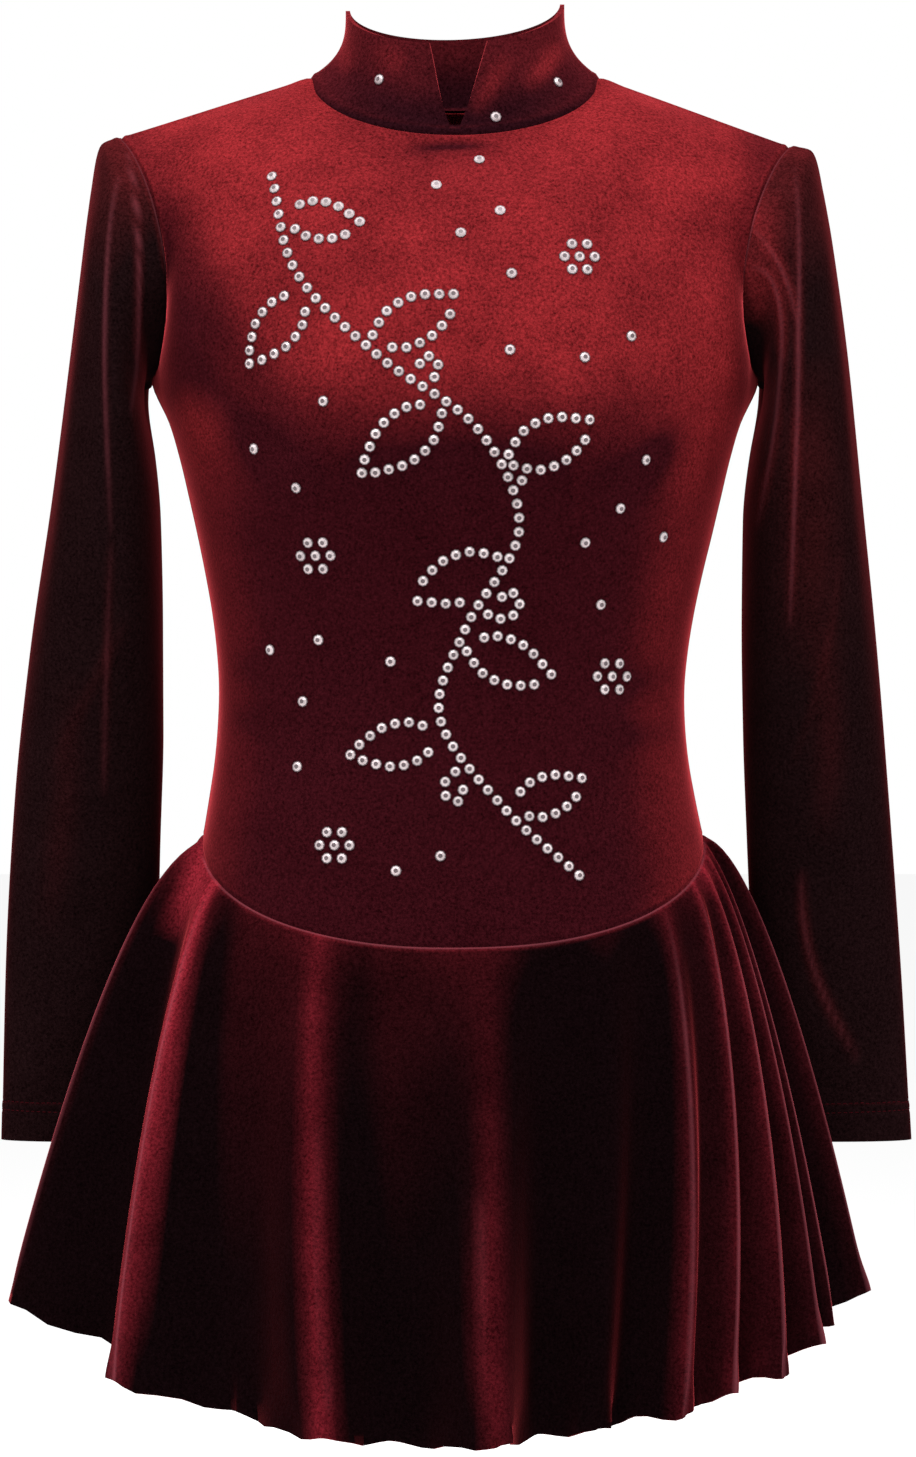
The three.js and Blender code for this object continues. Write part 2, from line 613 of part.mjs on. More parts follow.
// Direction through the cloth along the neck seam, between the slope of the shoulders and the standing
// collar
function neckNormal(p) {
  const level = point(p.x / NECK.side, (p.y - NECK.centre) / NECK.front, 0).normalize();
  return level.multiplyScalar(NECK_LEAN.level).add(point(0, 0, NECK_LEAN.up));
}

// Direction through the cloth along the waist seam: level, and square to the body's section
function waistNormal(p) {
  const depth = read(TORSO, p.y < 0 ? "front" : "back", "height", p.z);
  const side = read(TORSO, "side", "height", p.z);
  return point(p.x / side ** 2, p.y / depth ** 2, 0).normalize();
}

function buildSheets() {
  const front = bodicePanel(FRONT);
  const back = bodicePanel(BACK);
  const leftSleeve = sleeveRings(front, back, "left");
  const rightSleeve = sleeveRings(front, back, "right");
  const neckEdge = (p) => (Math.abs(p.x) < NECK.side + 1 ? neckNormal(p) : null);
  const sheets = [
    sheet("bodice_front", front, VELVET_THICKNESS, { bottomNormal: waistNormal, neckEdge }),
    sheet("bodice_back", back, VELVET_THICKNESS, { bottomNormal: waistNormal, neckEdge }),
    sheet("sleeve_left", leftSleeve, VELVET_THICKNESS, { closed: true, facing: -1, trim: SLEEVE_TRIM }),
    sheet("sleeve_right", rightSleeve, VELVET_THICKNESS, { closed: true, trim: SLEEVE_TRIM }),
    sheet("collar", collarRows(), COLLAR_THICKNESS, { closed: true, bottomNormal: neckNormal }),
    sheet("skirt_front", skirtPanel(FRONT_FOLDS), VELVET_THICKNESS, { topNormal: waistNormal }),
    sheet("skirt_back", skirtPanel(BACK_FOLDS), VELVET_THICKNESS, { topNormal: waistNormal }),
    sheet("brief_front", briefPanel(FRONT), BRIEF_THICKNESS, { topNormal: waistNormal }),
    sheet("brief_back", briefPanel(BACK), BRIEF_THICKNESS, { topNormal: waistNormal }),
  ];
  mitreSeams(sheets);
  for (const s of sheets) {
    if (s.neckEdge) s.rows[0].forEach((p, i) => s.normals[0][i].copy(s.neckEdge(p) ?? s.normals[0][i]));
  }
  sheets.forEach(trimEdges);
  return sheets;
}

const velvet = new THREE.MeshStandardMaterial({ color: 0x6e0c17, roughness: 0.85, metalness: 0 });
const foldedVelvet = new THREE.MeshStandardMaterial({ color: 0x5e0a14, roughness: 0.85, metalness: 0 });
const skirtVelvet = new THREE.MeshStandardMaterial({ color: 0x5a0a13, roughness: 0.8, metalness: 0 });
const plainJersey = new THREE.MeshStandardMaterial({ color: 0x4a0810, roughness: 0.9, metalness: 0 });
const finishOf = { collar: foldedVelvet, skirt: skirtVelvet, brief: plainJersey };

const dress = new THREE.Group();
for (const s of buildSheets()) {
  const mesh = new THREE.Mesh(wall(s), finishOf[s.name.split("_")[0]] ?? velvet);
  mesh.name = s.name;
  dress.add(mesh);
}

export default dress;
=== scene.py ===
import math

import bpy
import numpy as np
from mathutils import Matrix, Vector
from mathutils.bvhtree import BVHTree


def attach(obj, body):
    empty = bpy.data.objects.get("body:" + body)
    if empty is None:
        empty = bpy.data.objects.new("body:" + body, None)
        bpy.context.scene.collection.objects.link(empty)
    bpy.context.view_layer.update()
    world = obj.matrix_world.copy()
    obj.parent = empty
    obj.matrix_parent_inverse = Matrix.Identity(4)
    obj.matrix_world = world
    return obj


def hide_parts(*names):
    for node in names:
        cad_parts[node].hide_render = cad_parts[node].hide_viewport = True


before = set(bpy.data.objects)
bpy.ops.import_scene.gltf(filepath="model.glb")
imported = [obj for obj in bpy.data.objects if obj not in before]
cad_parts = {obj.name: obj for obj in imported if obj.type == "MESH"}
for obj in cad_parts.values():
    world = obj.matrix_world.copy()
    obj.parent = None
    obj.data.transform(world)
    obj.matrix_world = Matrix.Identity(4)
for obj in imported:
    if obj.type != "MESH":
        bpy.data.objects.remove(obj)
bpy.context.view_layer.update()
bpy.ops.object.select_all(action="DESELECT")

MM = 0.001
RANDOM = np.random.default_rng(7)

# ---- Sizes of the dress, as in the frame ----
VELVET_THICKNESS = 1.5
COLLAR_THICKNESS = 2.4
BRIEF_THICKNESS = 1.2
UNDERARM = -165.0

# height, half width, depth at the centre front, depth at the centre back, how far off centre
TORSO = [
    (-165, 166, 110, 97, 0),
    (-185, 156.5, 112, 94, 0),
    (-205, 150.5, 111, 90, 0),
    (-235, 143.5, 104, 82, 0),
    (-270, 135.5, 95, 73, 0.6),
    (-300, 130, 89, 67, 1.2),
    (-330, 127, 86, 64, 1.8),
    (-355, 127.5, 86, 66, 2),
    (-380, 130.5, 89, 73, 1.8),
    (-410, 136, 93, 82, 1.2),
    (-440, 140, 96, 90, 0.5),
    (-475, 143, 98, 96, 0),
]
TORSO_SQUARENESS = 0.9
BUST = dict(rise=9, apart=60, spread=40, height=-192, tall=48, side_fade=40)

NECK = dict(side=79, centre=3, front=57, back=52, height=4, front_dip=38, back_dip=12, tilt=0)
COLLAR_TOP = dict(side=59, centre=3, front=51, back=54, height=43, front_dip=27, back_dip=10, tilt=0.03)
COLLAR_FLARE = 3.2
COLLAR_COLUMNS, COLLAR_ROWS = 133, 26
# degrees round at the notch's point and at its end, on the seam and on the top edge, and how far round that edge leans
NOTCH_LEFT = dict(seam=(2, 15), top=(2.6, 17.2), lean=2.2)
NOTCH_RIGHT = dict(seam=(-2, -15), top=(-2.6, -13.4), lean=1.6)
LEAN_ENDS = 30  # degrees beyond the notch where the top edge leans no more
NOTCH_FLOOR = 0.1  # the share of the collar's height that is left at the notch's point
NOTCH_COLUMNS = 15

SHOULDER_TIP = dict(x=184, y=0, left=-34, right=-29)
# share of the half panel, then the end tangents: leaving x, y, z and meeting x, y, z
CHEST_DRAPE = [
    (0, 0, -92, -110, 0, -4, -140),
    (0.43, 70, -185, -75, -15, 14, -190),
    (0.7, 10, -195, -66, 8, 60, -160),
    (0.85, -45, -190, -66, 35, 110, -125),
    (1, -70, -180, -72, 70, 180, -95),
]
BACK_DRAPE = [
    (0, 0, 90, -110, 0, -12, -170),
    (0.43, 65, 180, -80, -15, -18, -190),
    (0.7, 8, 185, -68, 8, -52, -160),
    (0.85, -40, 180, -68, 32, -105, -125),
    (1, -62, 172, -72, 62, -172, -95),
]
WAIST_SEAM = dict(side=-412, front_dip=58, back_dip=25)
BODICE_COLUMNS = 28
NECK_SHARE = 12 / BODICE_COLUMNS  # how much of the panel's width lies at the neck
ARMHOLE_ROWS = 12
SIDE_ROWS = 12
RELAX_PASSES = 3
FINE = 5  # how many times finer than the frame's grid the bodice is
NEAR_EDGE = (0.15, 0.3, 0.45, 0.6, 0.8, 1.25, 1.5)  # where rows are added by its edges, in rows of that grid

# share of the length, outer line's height, inner line's height, half depth, how far back, then the lines seen from
# the front: left outer, left inner, right outer, right inner
SLEEVE = [
    (0, -33, -165, 45, 0, 184, 166, 184, 166),
    (0.03, -36, -169, 51, 0, 195.5, 173, 194, 173),
    (0.08, -59, -180, 56, 1, 202, 169.5, 199.5, 171.5),
    (0.16, -100, -205, 58, 2, 208.5, 163, 204.5, 166),
    (0.25, -150, -240, 55, 5, 215.5, 159.5, 211, 163),
    (0.38, -225, -295, 49, 9, 223.5, 159, 221, 162),
    (0.53, -311, -355, 40, 14, 232.5, 160, 234, 162),
    (0.67, -392, -418, 31, 19, 239.5, 162.5, 243, 164),
    (0.83, -483, -494, 22, 24, 246.5, 166, 248.5, 166),
    (1, -582, -582, 16.5, 27, 252.5, 169, 251, 169),
]
CAP_LENGTH = 0.16
# degrees round from the outer line, rise, where it starts and ends, width in degrees
SLEEVE_FOLDS = [
    (45, 2, 0.02, 0.6, 14),
    (90, 1.2, 0.03, 0.45, 14),
    (285, 2, 0.03, 0.5, 14),
]
SLEEVE_LENGTH = 552
# rows closer together near the armhole, by the seam, and over the cuff's two rows of stitches
SLEEVE_DOWN = sorted(
    [(k / 100) ** 1.25 for k in range(101)]
    + [far / SLEEVE_LENGTH for far in (0.6, 1.2, 2.4, 3.1)]
    + [1 - far / SLEEVE_LENGTH for far in (0.8, 1.6, 3.5, *range(12, 27))]
)

SKIRT_LENGTH = dict(centre=264, side_less=7, left_less=3)
SKIRT_HEM = dict(side=205, front=170, back=162)
SKIRT_SPRING = dict(centre=0.88, side=0.7)


def fold(hem, waist, out, waist_highlight=0, hem_highlight=0, line=0, start=0, growth=0.75):
    """A crest or a hollow of the skirt: its degrees round at the hem and at the waist, how far out it stands, how much
    painted highlight it has at the waist and at the hem, how pale a painted line runs along it, where it starts down
    the skirt and how it grows."""
    shines = dict(waist_highlight=waist_highlight, hem_highlight=hem_highlight, line=line)
    return dict(hem=hem, waist=waist, out=out, start=start, growth=growth, **shines)


FRONT_FOLDS = [
    fold(-90, -90, -6, 0.05),
    fold(-81, -84, 40, 0.15, 0.06, 0.65, growth=0.45),
    fold(-66, -75, -10),
    fold(-53, -65, 20, 1.0, 0.35, 0.4),
    fold(-36, -47, -12),
    fold(-18, -28, 15, 0.2, 0.5),
    fold(-8, -12, -9, 0.05),
    fold(5.5, 5, 20, 0, 0.3),
    fold(13.5, 20, -17),
    fold(21, 32, 0),
    fold(27, 42, -14),
    fold(33, 50, 14, 0.08, 0.24, 0.2),
    fold(38.5, 58, -4),
    fold(43, 65, 8, 0.3, 0.04, 0.4),
    fold(47.5, 69, -8),
    fold(52.5, 73, 14, 0.4, 0, 0.4),
    fold(58.5, 76.5, -9),
    fold(64, 79.5, 12, 0.3, 0, 0.4),
    fold(69, 82, -8),
    fold(73, 84, 9, 0.2, 0.03, 0.55),
    fold(77.5, 85.7, -6),
    fold(82.5, 87.3, 21, 0.15, 0.04, 0.4, growth=0.35),
    fold(90, 90, -16),
]
BACK_FOLDS = [
    fold(90, 90, -16),
    fold(98, 98, -62, start=0.14),
    fold(113, 109, 22, 0.6, 0.2, 0.4),
    fold(126, 119, -12),
    fold(138, 130, 18, 0.4, 0.3, 0.2),
    fold(150, 143, -13),
    fold(162, 156, 17, 0.1, 0.38),
    fold(175, 173, -12),
    fold(187, 189, 16, 0.05, 0.35),
    fold(201, 206, -13),
    fold(214, 221, 19, 0.5, 0.3, 0.3),
    fold(230, 236, -12),
    fold(246, 249, 24, 0.9, 0.25, 0.5),
    fold(262, 262, -62, start=0.14),
    fold(270, 270, -6, 0.05),
]
CREST_POWER = 1.5  # how much narrower a crest is than a hollow
CREST_DIP = dict(share=0.2, most=20)  # the hem hangs lower at a crest by this share of its out
# Degrees round at the hem, and the painted light and shade between the folds too, at the waist and at the hem
SKIRT_PAINTED_LIGHT = [
    (-90, 0.005, -0.015),
    (-75, 0.005, -0.035),
    (-62, -0.005, -0.035),
    (-54, 0.085, -0.015),
    (-45, -0.005, -0.045),
    (-38, 0.115, -0.02),
    (-20, 0.125, -0.025),
    (-12.5, 0.055, -0.045),
    (-8, 0.105, -0.025),
    (2, 0.075, -0.035),
    (9, 0.015, -0.035),
    (14, 0.005, -0.035),
    (24, -0.005, -0.045),
    (29, -0.005, -0.035),
    (36, 0.005, 0.035),
    (48, 0.035, 0.065),
    (58, 0.045, 0.045),
    (75, 0.045, 0.005),
    (90, 0.025, -0.005),
    (120, 0.04, -0.01),
    (180, 0.08, -0.02),
    (240, 0.04, -0.01),
    (270, 0.02, -0.02),
]
PAINTED_LIGHT_FADE = 0.5  # how soon the painted light between the folds changes from the waist's to the hem's
BAND_POWER, LINE_POWER = 12, 420  # how narrow a crest's painted highlight band and its painted line are
EVEN_FOLD = 10  # degrees from crest to hollow at which they are so
CLOSE_FOLD = 0.75  # the least share of those degrees that still makes them narrower
LINE_START, LINE_FLARE = 4, 0.3  # how soon a painted line is full below the waist, and what share of its power it has there
SKIRT_STEPS = 10  # columns between a crest and a hollow
EDGE_STEPS = (0.7, 1.4, 2.1, 2.8, 3.6, 4.6)  # how far from an edge the closer rows lie
SKIRT_DOWN = sorted(
    [0, 1, *np.linspace(0.026, 0.974, 56)]
    + [far / SKIRT_LENGTH["centre"] for far in EDGE_STEPS]
    + [1 - far / SKIRT_LENGTH["centre"] for far in EDGE_STEPS]
)

BRIEF_INSET, BRIEF_RISE = 2, 3  # how far inside the body its top edge lies, and how far above the waist seam
BRIEF_FLUSH = 0.3  # the share of its length over which it follows the body
BRIEF_FLUSH_DROP = 40
BRIEF_COLUMNS, BRIEF_ROWS = 56, 45
# share of the length, the row's end x, y, z, its middle y, z, and how far it wraps
BRIEF_FRONT = [
    (0, 134, 0, -409, -97, -467, 90),
    (0.15, 131, 0, -442, -96, -490, 90),
    (0.3, 123, -34, -466, -95, -511, 76),
    (0.5, 100, -60, -503, -89, -538, 60),
    (0.7, 66, -56, -543, -72, -566, 46),
    (0.85, 44, -35, -574, -44, -586, 36),
    (1, 34, 0, -592, 0, -597, 28),
]
BRIEF_BACK = [
    (0, 134, 0, -409, 86, -434, 90),
    (0.15, 131, 0, -442, 93, -468, 90),
    (0.3, 123, 34, -472, 99, -498, 78),
    (0.5, 107, 62, -512, 99, -532, 66),
    (0.7, 78, 66, -550, 83, -565, 52),
    (0.85, 48, 42, -577, 52, -587, 38),
    (1, 34, 0, -592, 0, -597, 28),
]

HEM_WAVE = dict(reach=15, pitch=26, rise=2.2, sway=1.8, sway_pitch=3.3, lift=1.3, lift_pitch=1.4, lift_start=0.7)

# Sleeve creases: where each starts and ends down the sleeve, its degrees round at its start, middle and end, its rise,
# its width in degrees and how much painted highlight it has
LEFT_CREASES = [
    (0.4, 0.6, 60, 80, 112, 0.7, 5, 0.03),
    (0.02, 0.5, 268, 272, 262, 1.5, 3, 0.3),
    (0.05, 0.3, 238, 252, 236, 1.2, 3, 0.2),
    (0.45, 0.62, 250, 280, 300, 0.8, 5, 0.05),
]
RIGHT_CREASES = [
    (0.42, 0.62, 118, 92, 66, 0.7, 5, 0.03),
    (0.02, 0.46, 272, 266, 275, 1.6, 3, 0.3),
    (0.06, 0.28, 242, 256, 240, 1.2, 3, 0.2),
    (0.46, 0.64, 252, 278, 296, 0.8, 5, 0.05),
    (0.74, 0.95, 262, 268, 290, 0.9, 3, 0.15),
]
# Hollows under the arms, as the creases of the bodice below, with painted shade in them
LEFT_HOLLOWS = [(153, -134, 161, -180, 2.6, 7.5), (176, -150, 166, -215, 0.8, 4)]
RIGHT_HOLLOWS = [(-150, -105, -160, -170, 2.6, 8), (-178, -150, -166, -215, 0.8, 4)]
# Ridges of the cloth with painted highlights, seen from the front: x and z at the start, middle and end, how high, how
# wide, how much painted light their band has and how pale the painted line along them is; a ridge 0 high is painted
# only
LEFT_RIDGES = [
    (185, -48, 184.5, -176, 182, -300, 0.9, 2.4, 0.16, 0.2),
    (160, -105, 177, -140, 165, -245, 0.9, 2.6, 0.24, 0.15),
    (161, -84, 176, -106, 184, -136, 0.6, 2.6, 0.24, 0.12),
    (156, -60, 163, -80, 166, -104, 0.6, 6, 0.35, 0),
    (154, -92, 161, -112, 165, -136, 0.3, 7, 0.5, 0),
    (172, -60, 170, -90, 176, -150, 0.3, 9, 0.3, 0),
    (190, -150, 192, -230, 192, -330, 0, 16, 0.1, 0),
    (190.5, -432, 197, -484, 222, -535, 0.6, 3, 0.14, 0.1),
    (197, -290, 204, -350, 201, -420, 0.4, 8, 0.06, 0),
]
RIGHT_RIDGES = [
    (-182, -54, -187.5, -125, -186, -250, 0.9, 2, 0.04, 0.18),
    (-179, -40, -171, -98, -176, -185, 0.8, 2.2, 0.14, 0.2),
    (-186, -250, -190, -330, -192, -390, 0.5, 2.4, 0.05, 0.06),
    (-208, -320, -214, -400, -226, -470, 0.4, 8, 0.04, 0),
]
# The collar's low ridges with painted highlights, as above
COLLAR_RIDGES = [
    (8, -23, 19, -7, 29, 12, 0.2, 5, 0.4, 0),
    (36, -8, 50, 8, 58, 24, 0.2, 5, 0.5, 0),
    (-26, 4, -33, 8, -44, 18, 0.2, 7, 0.25, 0),
    (-55, 2, -60, 14, -59, 28, 0.2, 5, 0.3, 0),
]
# Painted highlights on the skirt, as above, all 0 high
SKIRT_RIDGES = [
    (-130, -400, -141, -434, -154, -470, 0, 8, 0.9, 0),
    (-133, -425, -156, -560, -172, -700, 0, 5.5, 0.36, 0),
    (-73, -560, -71, -640, -66, -706, 0, 2.5, 0.1, 0.25),
    (14, -590, 14, -660, 15, -712, 0, 4.8, 0.22, 0.1),
    (131, -412, 135, -429, 139, -447, 0, 6, 0.3, 0),
]
CREASE_SHADE = 0.35  # painted shade: how much darker a trough is painted, for each millimetre of its depth
SHADE_DEPTH = 1.5  # the depth past which it gets no darker
FULL_CREASE, FULL_RIDGE = 0.35, 0.3  # how far the cloth faces front where a crease or a ridge has its full depth
CREASE_TAPER = 0.8  # how a crease shallows towards its ends
RIDGE_STEPS = 240  # points along a ridge's curve
LINE_WIDTH = 0.95
WIDE_BAND = 4.5  # a painted highlight band wider than this fades sooner at its ends
CUFF = dict(tall=22, soft=0.8, proud=0.4, stitch_rows=(16.5, 21.5), groove=0.35, groove_width=1.1)

TURNED_IN = (0.9, 1.8, 0)  # depth, width and distance from the edge of the cloth that turns in at a seam
ROLLED = (-0.45, 1.2, 2.4)  # the low roll beside it
EDGE_BAND = (2.2, 0.9)  # how far in from a seam its soft band of painted light lies, and its width
EDGE_LINE = (0.8, 0.55)  # and those of its pale painted highlight line
SMOOTH_ANGLE = 50
MERGE_WITHIN = 1e-5  # metres between the two edges that close a tube

# Creases of the front and back bodice, with painted shade in their troughs, seen from the front: x and z at both ends,
# depth and width
FRONT_CREASES = [
    (-28, -41.5, 24, -40.5, 1.5, 2.6),
    (-34, -47, -6, -44, 0.6, 4),
    (-166, -120, -140, -190, 0.5, 16),
    (162, -130, 138, -190, 0.4, 12),
    (-150, -150, -92, -215, 0.9, 11),
    (148, -165, 100, -215, 0.8, 9),
    (-140, -186, -70, -232, 0.35, 10),
    (140, -190, 70, -235, 0.8, 10),
    (-60, -232, 62, -228, 1.6, 22),
    (-122, -318, -70, -330, 0.5, 8),
    (124, -322, 66, -338, 0.5, 8),
    (-126, -350, -74, -356, 0.4, 7),
    (126, -356, 78, -362, 0.4, 7),
    (-18, -448, 26, -430, 0.35, 3.5),
    (-6, -456, 40, -440, 0.35, 3.5),
]
BACK_CREASES = [
    (-150, -150, -88, -205, 0.9, 10),
    (148, -160, 90, -210, 0.8, 10),
    (0, -120, 0, -330, 0.5, 18),
    (-118, -322, -50, -336, 0.6, 8),
    (120, -326, 48, -344, 0.6, 8),
    (-110, -362, -52, -372, 0.5, 8),
    (112, -366, 50, -380, 0.5, 8),
]

FRONT, BACK = -1, 1


# ---- Reading the tables ----
def mix(a, b, t):
    return a + (b - a) * t


def hermite(start, leave, end, meet, t):
    """A point on the curve from start to end that leaves and meets them in the directions given."""
    t2, t3 = t * t, t * t * t
    return mix(start, end, 3 * t2 - 2 * t3) + (t3 - 2 * t2 + t) * leave + (t3 - t2) * meet


def smooth(before, start, end, after, t):
    """A point on the smooth curve from start to end that the points before and after them lie on too."""
    square = (2 * before - 5 * start + 4 * end - after) * t**2
    return 0.5 * (2 * start + (end - before) * t + square + (3 * start - before - 3 * end + after) * t**3)


def bend(start, middle, end, t):
    """A point on the bend from start to end through a middle."""
    return (1 - t) * (1 - 2 * t) * start + 4 * t * (1 - t) * middle + t * (2 * t - 1) * end


def read(table, column, value):
    """One column of a table, read smoothly and without overshoot at a value of its first column."""
    order = table if table[-1][0] > table[0][0] else table[::-1]
    last = len(order) - 1
    at = next((k for k, row in enumerate(order) if row[0] >= value), last) - 1
    at = min(max(at, 0), last - 1)

    def step(k):
        return (order[k + 1][column] - order[k][column]) / (order[k + 1][0] - order[k][0])

    def slope(k):
        if k in (0, last):
            return step(min(k, last - 1))
        before, after = step(k - 1), step(k)
        return 2 * before * after / (before + after) if before * after > 0 else 0

    low, high = order[at], order[at + 1]
    span = high[0] - low[0]
    return hermite(low[column], slope(at) * span, high[column], slope(at + 1) * span, (value - low[0]) / span)


def rounded(value):
    return math.copysign(abs(value) ** TORSO_SQUARENESS, value)


# ---- The body of the dress ----
def torso(angle, height):
    """A point of the body, by degrees round from the centre front and by height."""
    turn = math.radians(angle)
    depth = 2 if math.cos(turn) > 0 else 3
    x = read(TORSO, 1, height) * rounded(math.sin(turn)) - read(TORSO, 4, height)
    return np.array((x, -read(TORSO, depth, height) * rounded(math.cos(turn)), height))


def seam_height(angle):
    facing = math.cos(math.radians(angle))
    return WAIST_SEAM["side"] - WAIST_SEAM["front_dip" if facing > 0 else "back_dip"] * abs(facing)


def neck_point(edge, angle):
    """A point on the neck's seam or on the collar's top edge."""
    facing = math.cos(math.radians(angle))
    x = edge["side"] * math.sin(math.radians(angle))
    y = edge["centre"] - edge["front" if facing > 0 else "back"] * facing
    dip = edge["front_dip" if facing > 0 else "back_dip"] * abs(facing)
    return np.array((x, y, edge["height"] - dip + edge["tilt"] * x))


def bodice_top(face, share):
    part = abs(share)
    if part <= NECK_SHARE:
        angle = 90 * share / NECK_SHARE
        return neck_point(NECK, angle if face == FRONT else 180 - angle)
    along = (part - NECK_SHARE) / (1 - NECK_SHARE)
    inner = neck_point(NECK, 90)
    tip = (SHOULDER_TIP["x"], SHOULDER_TIP["y"], SHOULDER_TIP["left" if share > 0 else "right"])
    x, y, z = (mix(a, b, along) for a, b in zip(inner, tip))
    return np.array((math.copysign(x, share), y, z))


def bodice_upper(face, angle, share, t):
    """From the neck, shoulder or armhole down to the underarm."""
    drape = CHEST_DRAPE if face == FRONT else BACK_DRAPE
    start, end = bodice_top(face, share), torso(angle, UNDERARM)
    leave = np.array([read(drape, k, abs(share)) for k in (1, 2, 3)])
    meet = np.array([read(drape, k, abs(share)) for k in (4, 5, 6)])
    side = np.array((math.copysign(1, share) if share else 0, 1, 1))
    return hermite(start, leave * side, end, meet * side, t)


def bodice_panel(face):
    """The front or back on the frame's own grid, relaxed and, in front, filled out at the bust."""
    rows = []
    for j in range(ARMHOLE_ROWS + SIDE_ROWS + 1):
        row = []
        for i in range(BODICE_COLUMNS + 1):
            angle = (-90 if face == FRONT else 90) + 180 * i / BODICE_COLUMNS
            share = angle / 90 if face == FRONT else (180 - angle) / 90
            below = j - ARMHOLE_ROWS
            if below <= 0:
                row.append(bodice_upper(face, angle, share, j / ARMHOLE_ROWS))
            else:
                row.append(torso(angle, mix(UNDERARM, seam_height(angle), below / SIDE_ROWS)))
        rows.append(row)
    rows = np.array(rows)
    for _ in range(RELAX_PASSES):
        inside = rows[1:-1, 1:-1]
        around = (rows[:-2, 1:-1] + rows[2:, 1:-1] + rows[1:-1, :-2] + rows[1:-1, 2:]) / 4
        rows[1:-1, 1:-1] = (inside + around) / 2
    if face == FRONT:
        x, y, z = np.moveaxis(rows, -1, 0)
        across = (np.abs(x) - BUST["apart"]) / BUST["spread"]
        along = (z - BUST["height"]) / BUST["tall"]
        fade = np.minimum(1, np.abs(y) / BUST["side_fade"])
        rows[..., 1] -= BUST["rise"] * fade * np.exp(-across**2 - along**2)
    return rows


def refine(rows, times):
    """The same sheet through the same points, on a grid that many times finer, with smooth curves between them."""
    for _ in range(2):
        n = len(rows)
        padded = np.concatenate([[2 * rows[0] - rows[1]], rows, [2 * rows[-1] - rows[-2]]])
        at = np.linspace(0, n - 1, (n - 1) * times + 1)
        k = np.minimum(at.astype(int), n - 2)
        rows = smooth(*(padded[k + q] for q in range(4)), (at - k).reshape(-1, 1, 1))
        rows = np.swapaxes(rows, 0, 1)
    return rows


def fine_edges(rows):
    """Adds rows and columns close to a sheet's edges, where its seams need them."""
    for _ in range(2):
        last = len(rows) - 1
        near = np.array(NEAR_EDGE)
        at = np.sort(np.concatenate([np.arange(last + 1), near, last - near]))
        low = np.minimum(at.astype(int), last - 1)
        share = (at - low).reshape(-1, *[1] * (rows.ndim - 1))
        rows = np.swapaxes(rows[low] * (1 - share) + rows[low + 1] * share, 0, 1)
    return rows


# ---- Sleeves, collar, skirt and brief ----
def sleeve_folds(at, turn, creases):
    """How far the folds and creases of a sleeve stand out at a place, and how much painted highlight they have there.
    """
    degrees = math.degrees(turn)
    rise = painted_light = 0
    for around, most, start, end, width in SLEEVE_FOLDS:
        if start < at < end:
            away = (degrees - around) / width
            rise += most * math.sin(math.pi * (at - start) / (end - start)) * math.exp(-away * away)
    for start, end, first, middle, last, most, width, painted_gleam in creases:
        if start < at < end:
            s = (at - start) / (end - start)
            away = (degrees - bend(first, middle, last, s)) / width
            near = math.sin(math.pi * s) ** 0.5 * math.exp(-(away**2))
            rise += most * near
            painted_light += painted_gleam * near
    return rise, painted_light


def sleeve_section(at, turn, side, creases=()):
    """A point of the sleeve, by share of its length and turn from its outer line, and its painted light."""
    outward, forward = math.cos(turn), math.sin(turn)
    share = (1 + outward) / 2
    rise, painted_light = sleeve_folds(at, turn, creases)
    out, inner = (5, 6) if side == "left" else (7, 8)
    x = mix(read(SLEEVE, inner, at), read(SLEEVE, out, at), share) + rise * outward
    y = read(SLEEVE, 4, at) - (read(SLEEVE, 3, at) + rise) * forward
    z = mix(read(SLEEVE, 2, at), read(SLEEVE, 1, at), share)
    return (x if side == "left" else -x, y, z, painted_light)


def sleeve_rings(front, back, side):
    """The sleeve's points, and the painted light at each."""
    edge = -1 if side == "left" else 0
    rows = ARMHOLE_ROWS * (len(front) - 1) // (ARMHOLE_ROWS + SIDE_ROWS)
    armhole = np.concatenate([front[: rows + 1, edge], back[rows - 1 : 0 : -1, -1 - edge]])
    halfway = smooth(*(np.roll(armhole, k, 0) for k in (1, 0, -1, -2)), 0.5)
    armhole = np.stack([armhole, halfway], axis=1).reshape(-1, 3)
    turns = [2 * math.pi * i / len(armhole) for i in range(len(armhole))]
    first = np.array([sleeve_section(0, turn, side)[:3] for turn in turns])
    creases = LEFT_CREASES if side == "left" else RIGHT_CREASES
    rings, painted_light = [], []
    for at in SLEEVE_DOWN:
        fade = max(0.0, 1 - at / CAP_LENGTH) ** 2
        ring = np.array([sleeve_section(at, turn, side, creases) for turn in turns])
        rings.append(ring[:, :3] + (armhole - first) * fade)
        painted_light.append(soft_light(ring[:, 3]))
    return np.array(rings), np.array(painted_light)


def turn_up_cuff(rings, normals):
    """The cuff is turned in and sewn: its end is a layer thicker, with a groove along each row of stitches."""
    above = from_edges(rings)["bottom"]
    proud = CUFF["proud"] / (1 + np.exp((above - CUFF["tall"]) / CUFF["soft"]))
    for stitch_row in CUFF["stitch_rows"]:
        proud = proud - CUFF["groove"] * np.exp(-(((above - stitch_row) / CUFF["groove_width"]) ** 2))
    return rings + normals * proud[..., None]


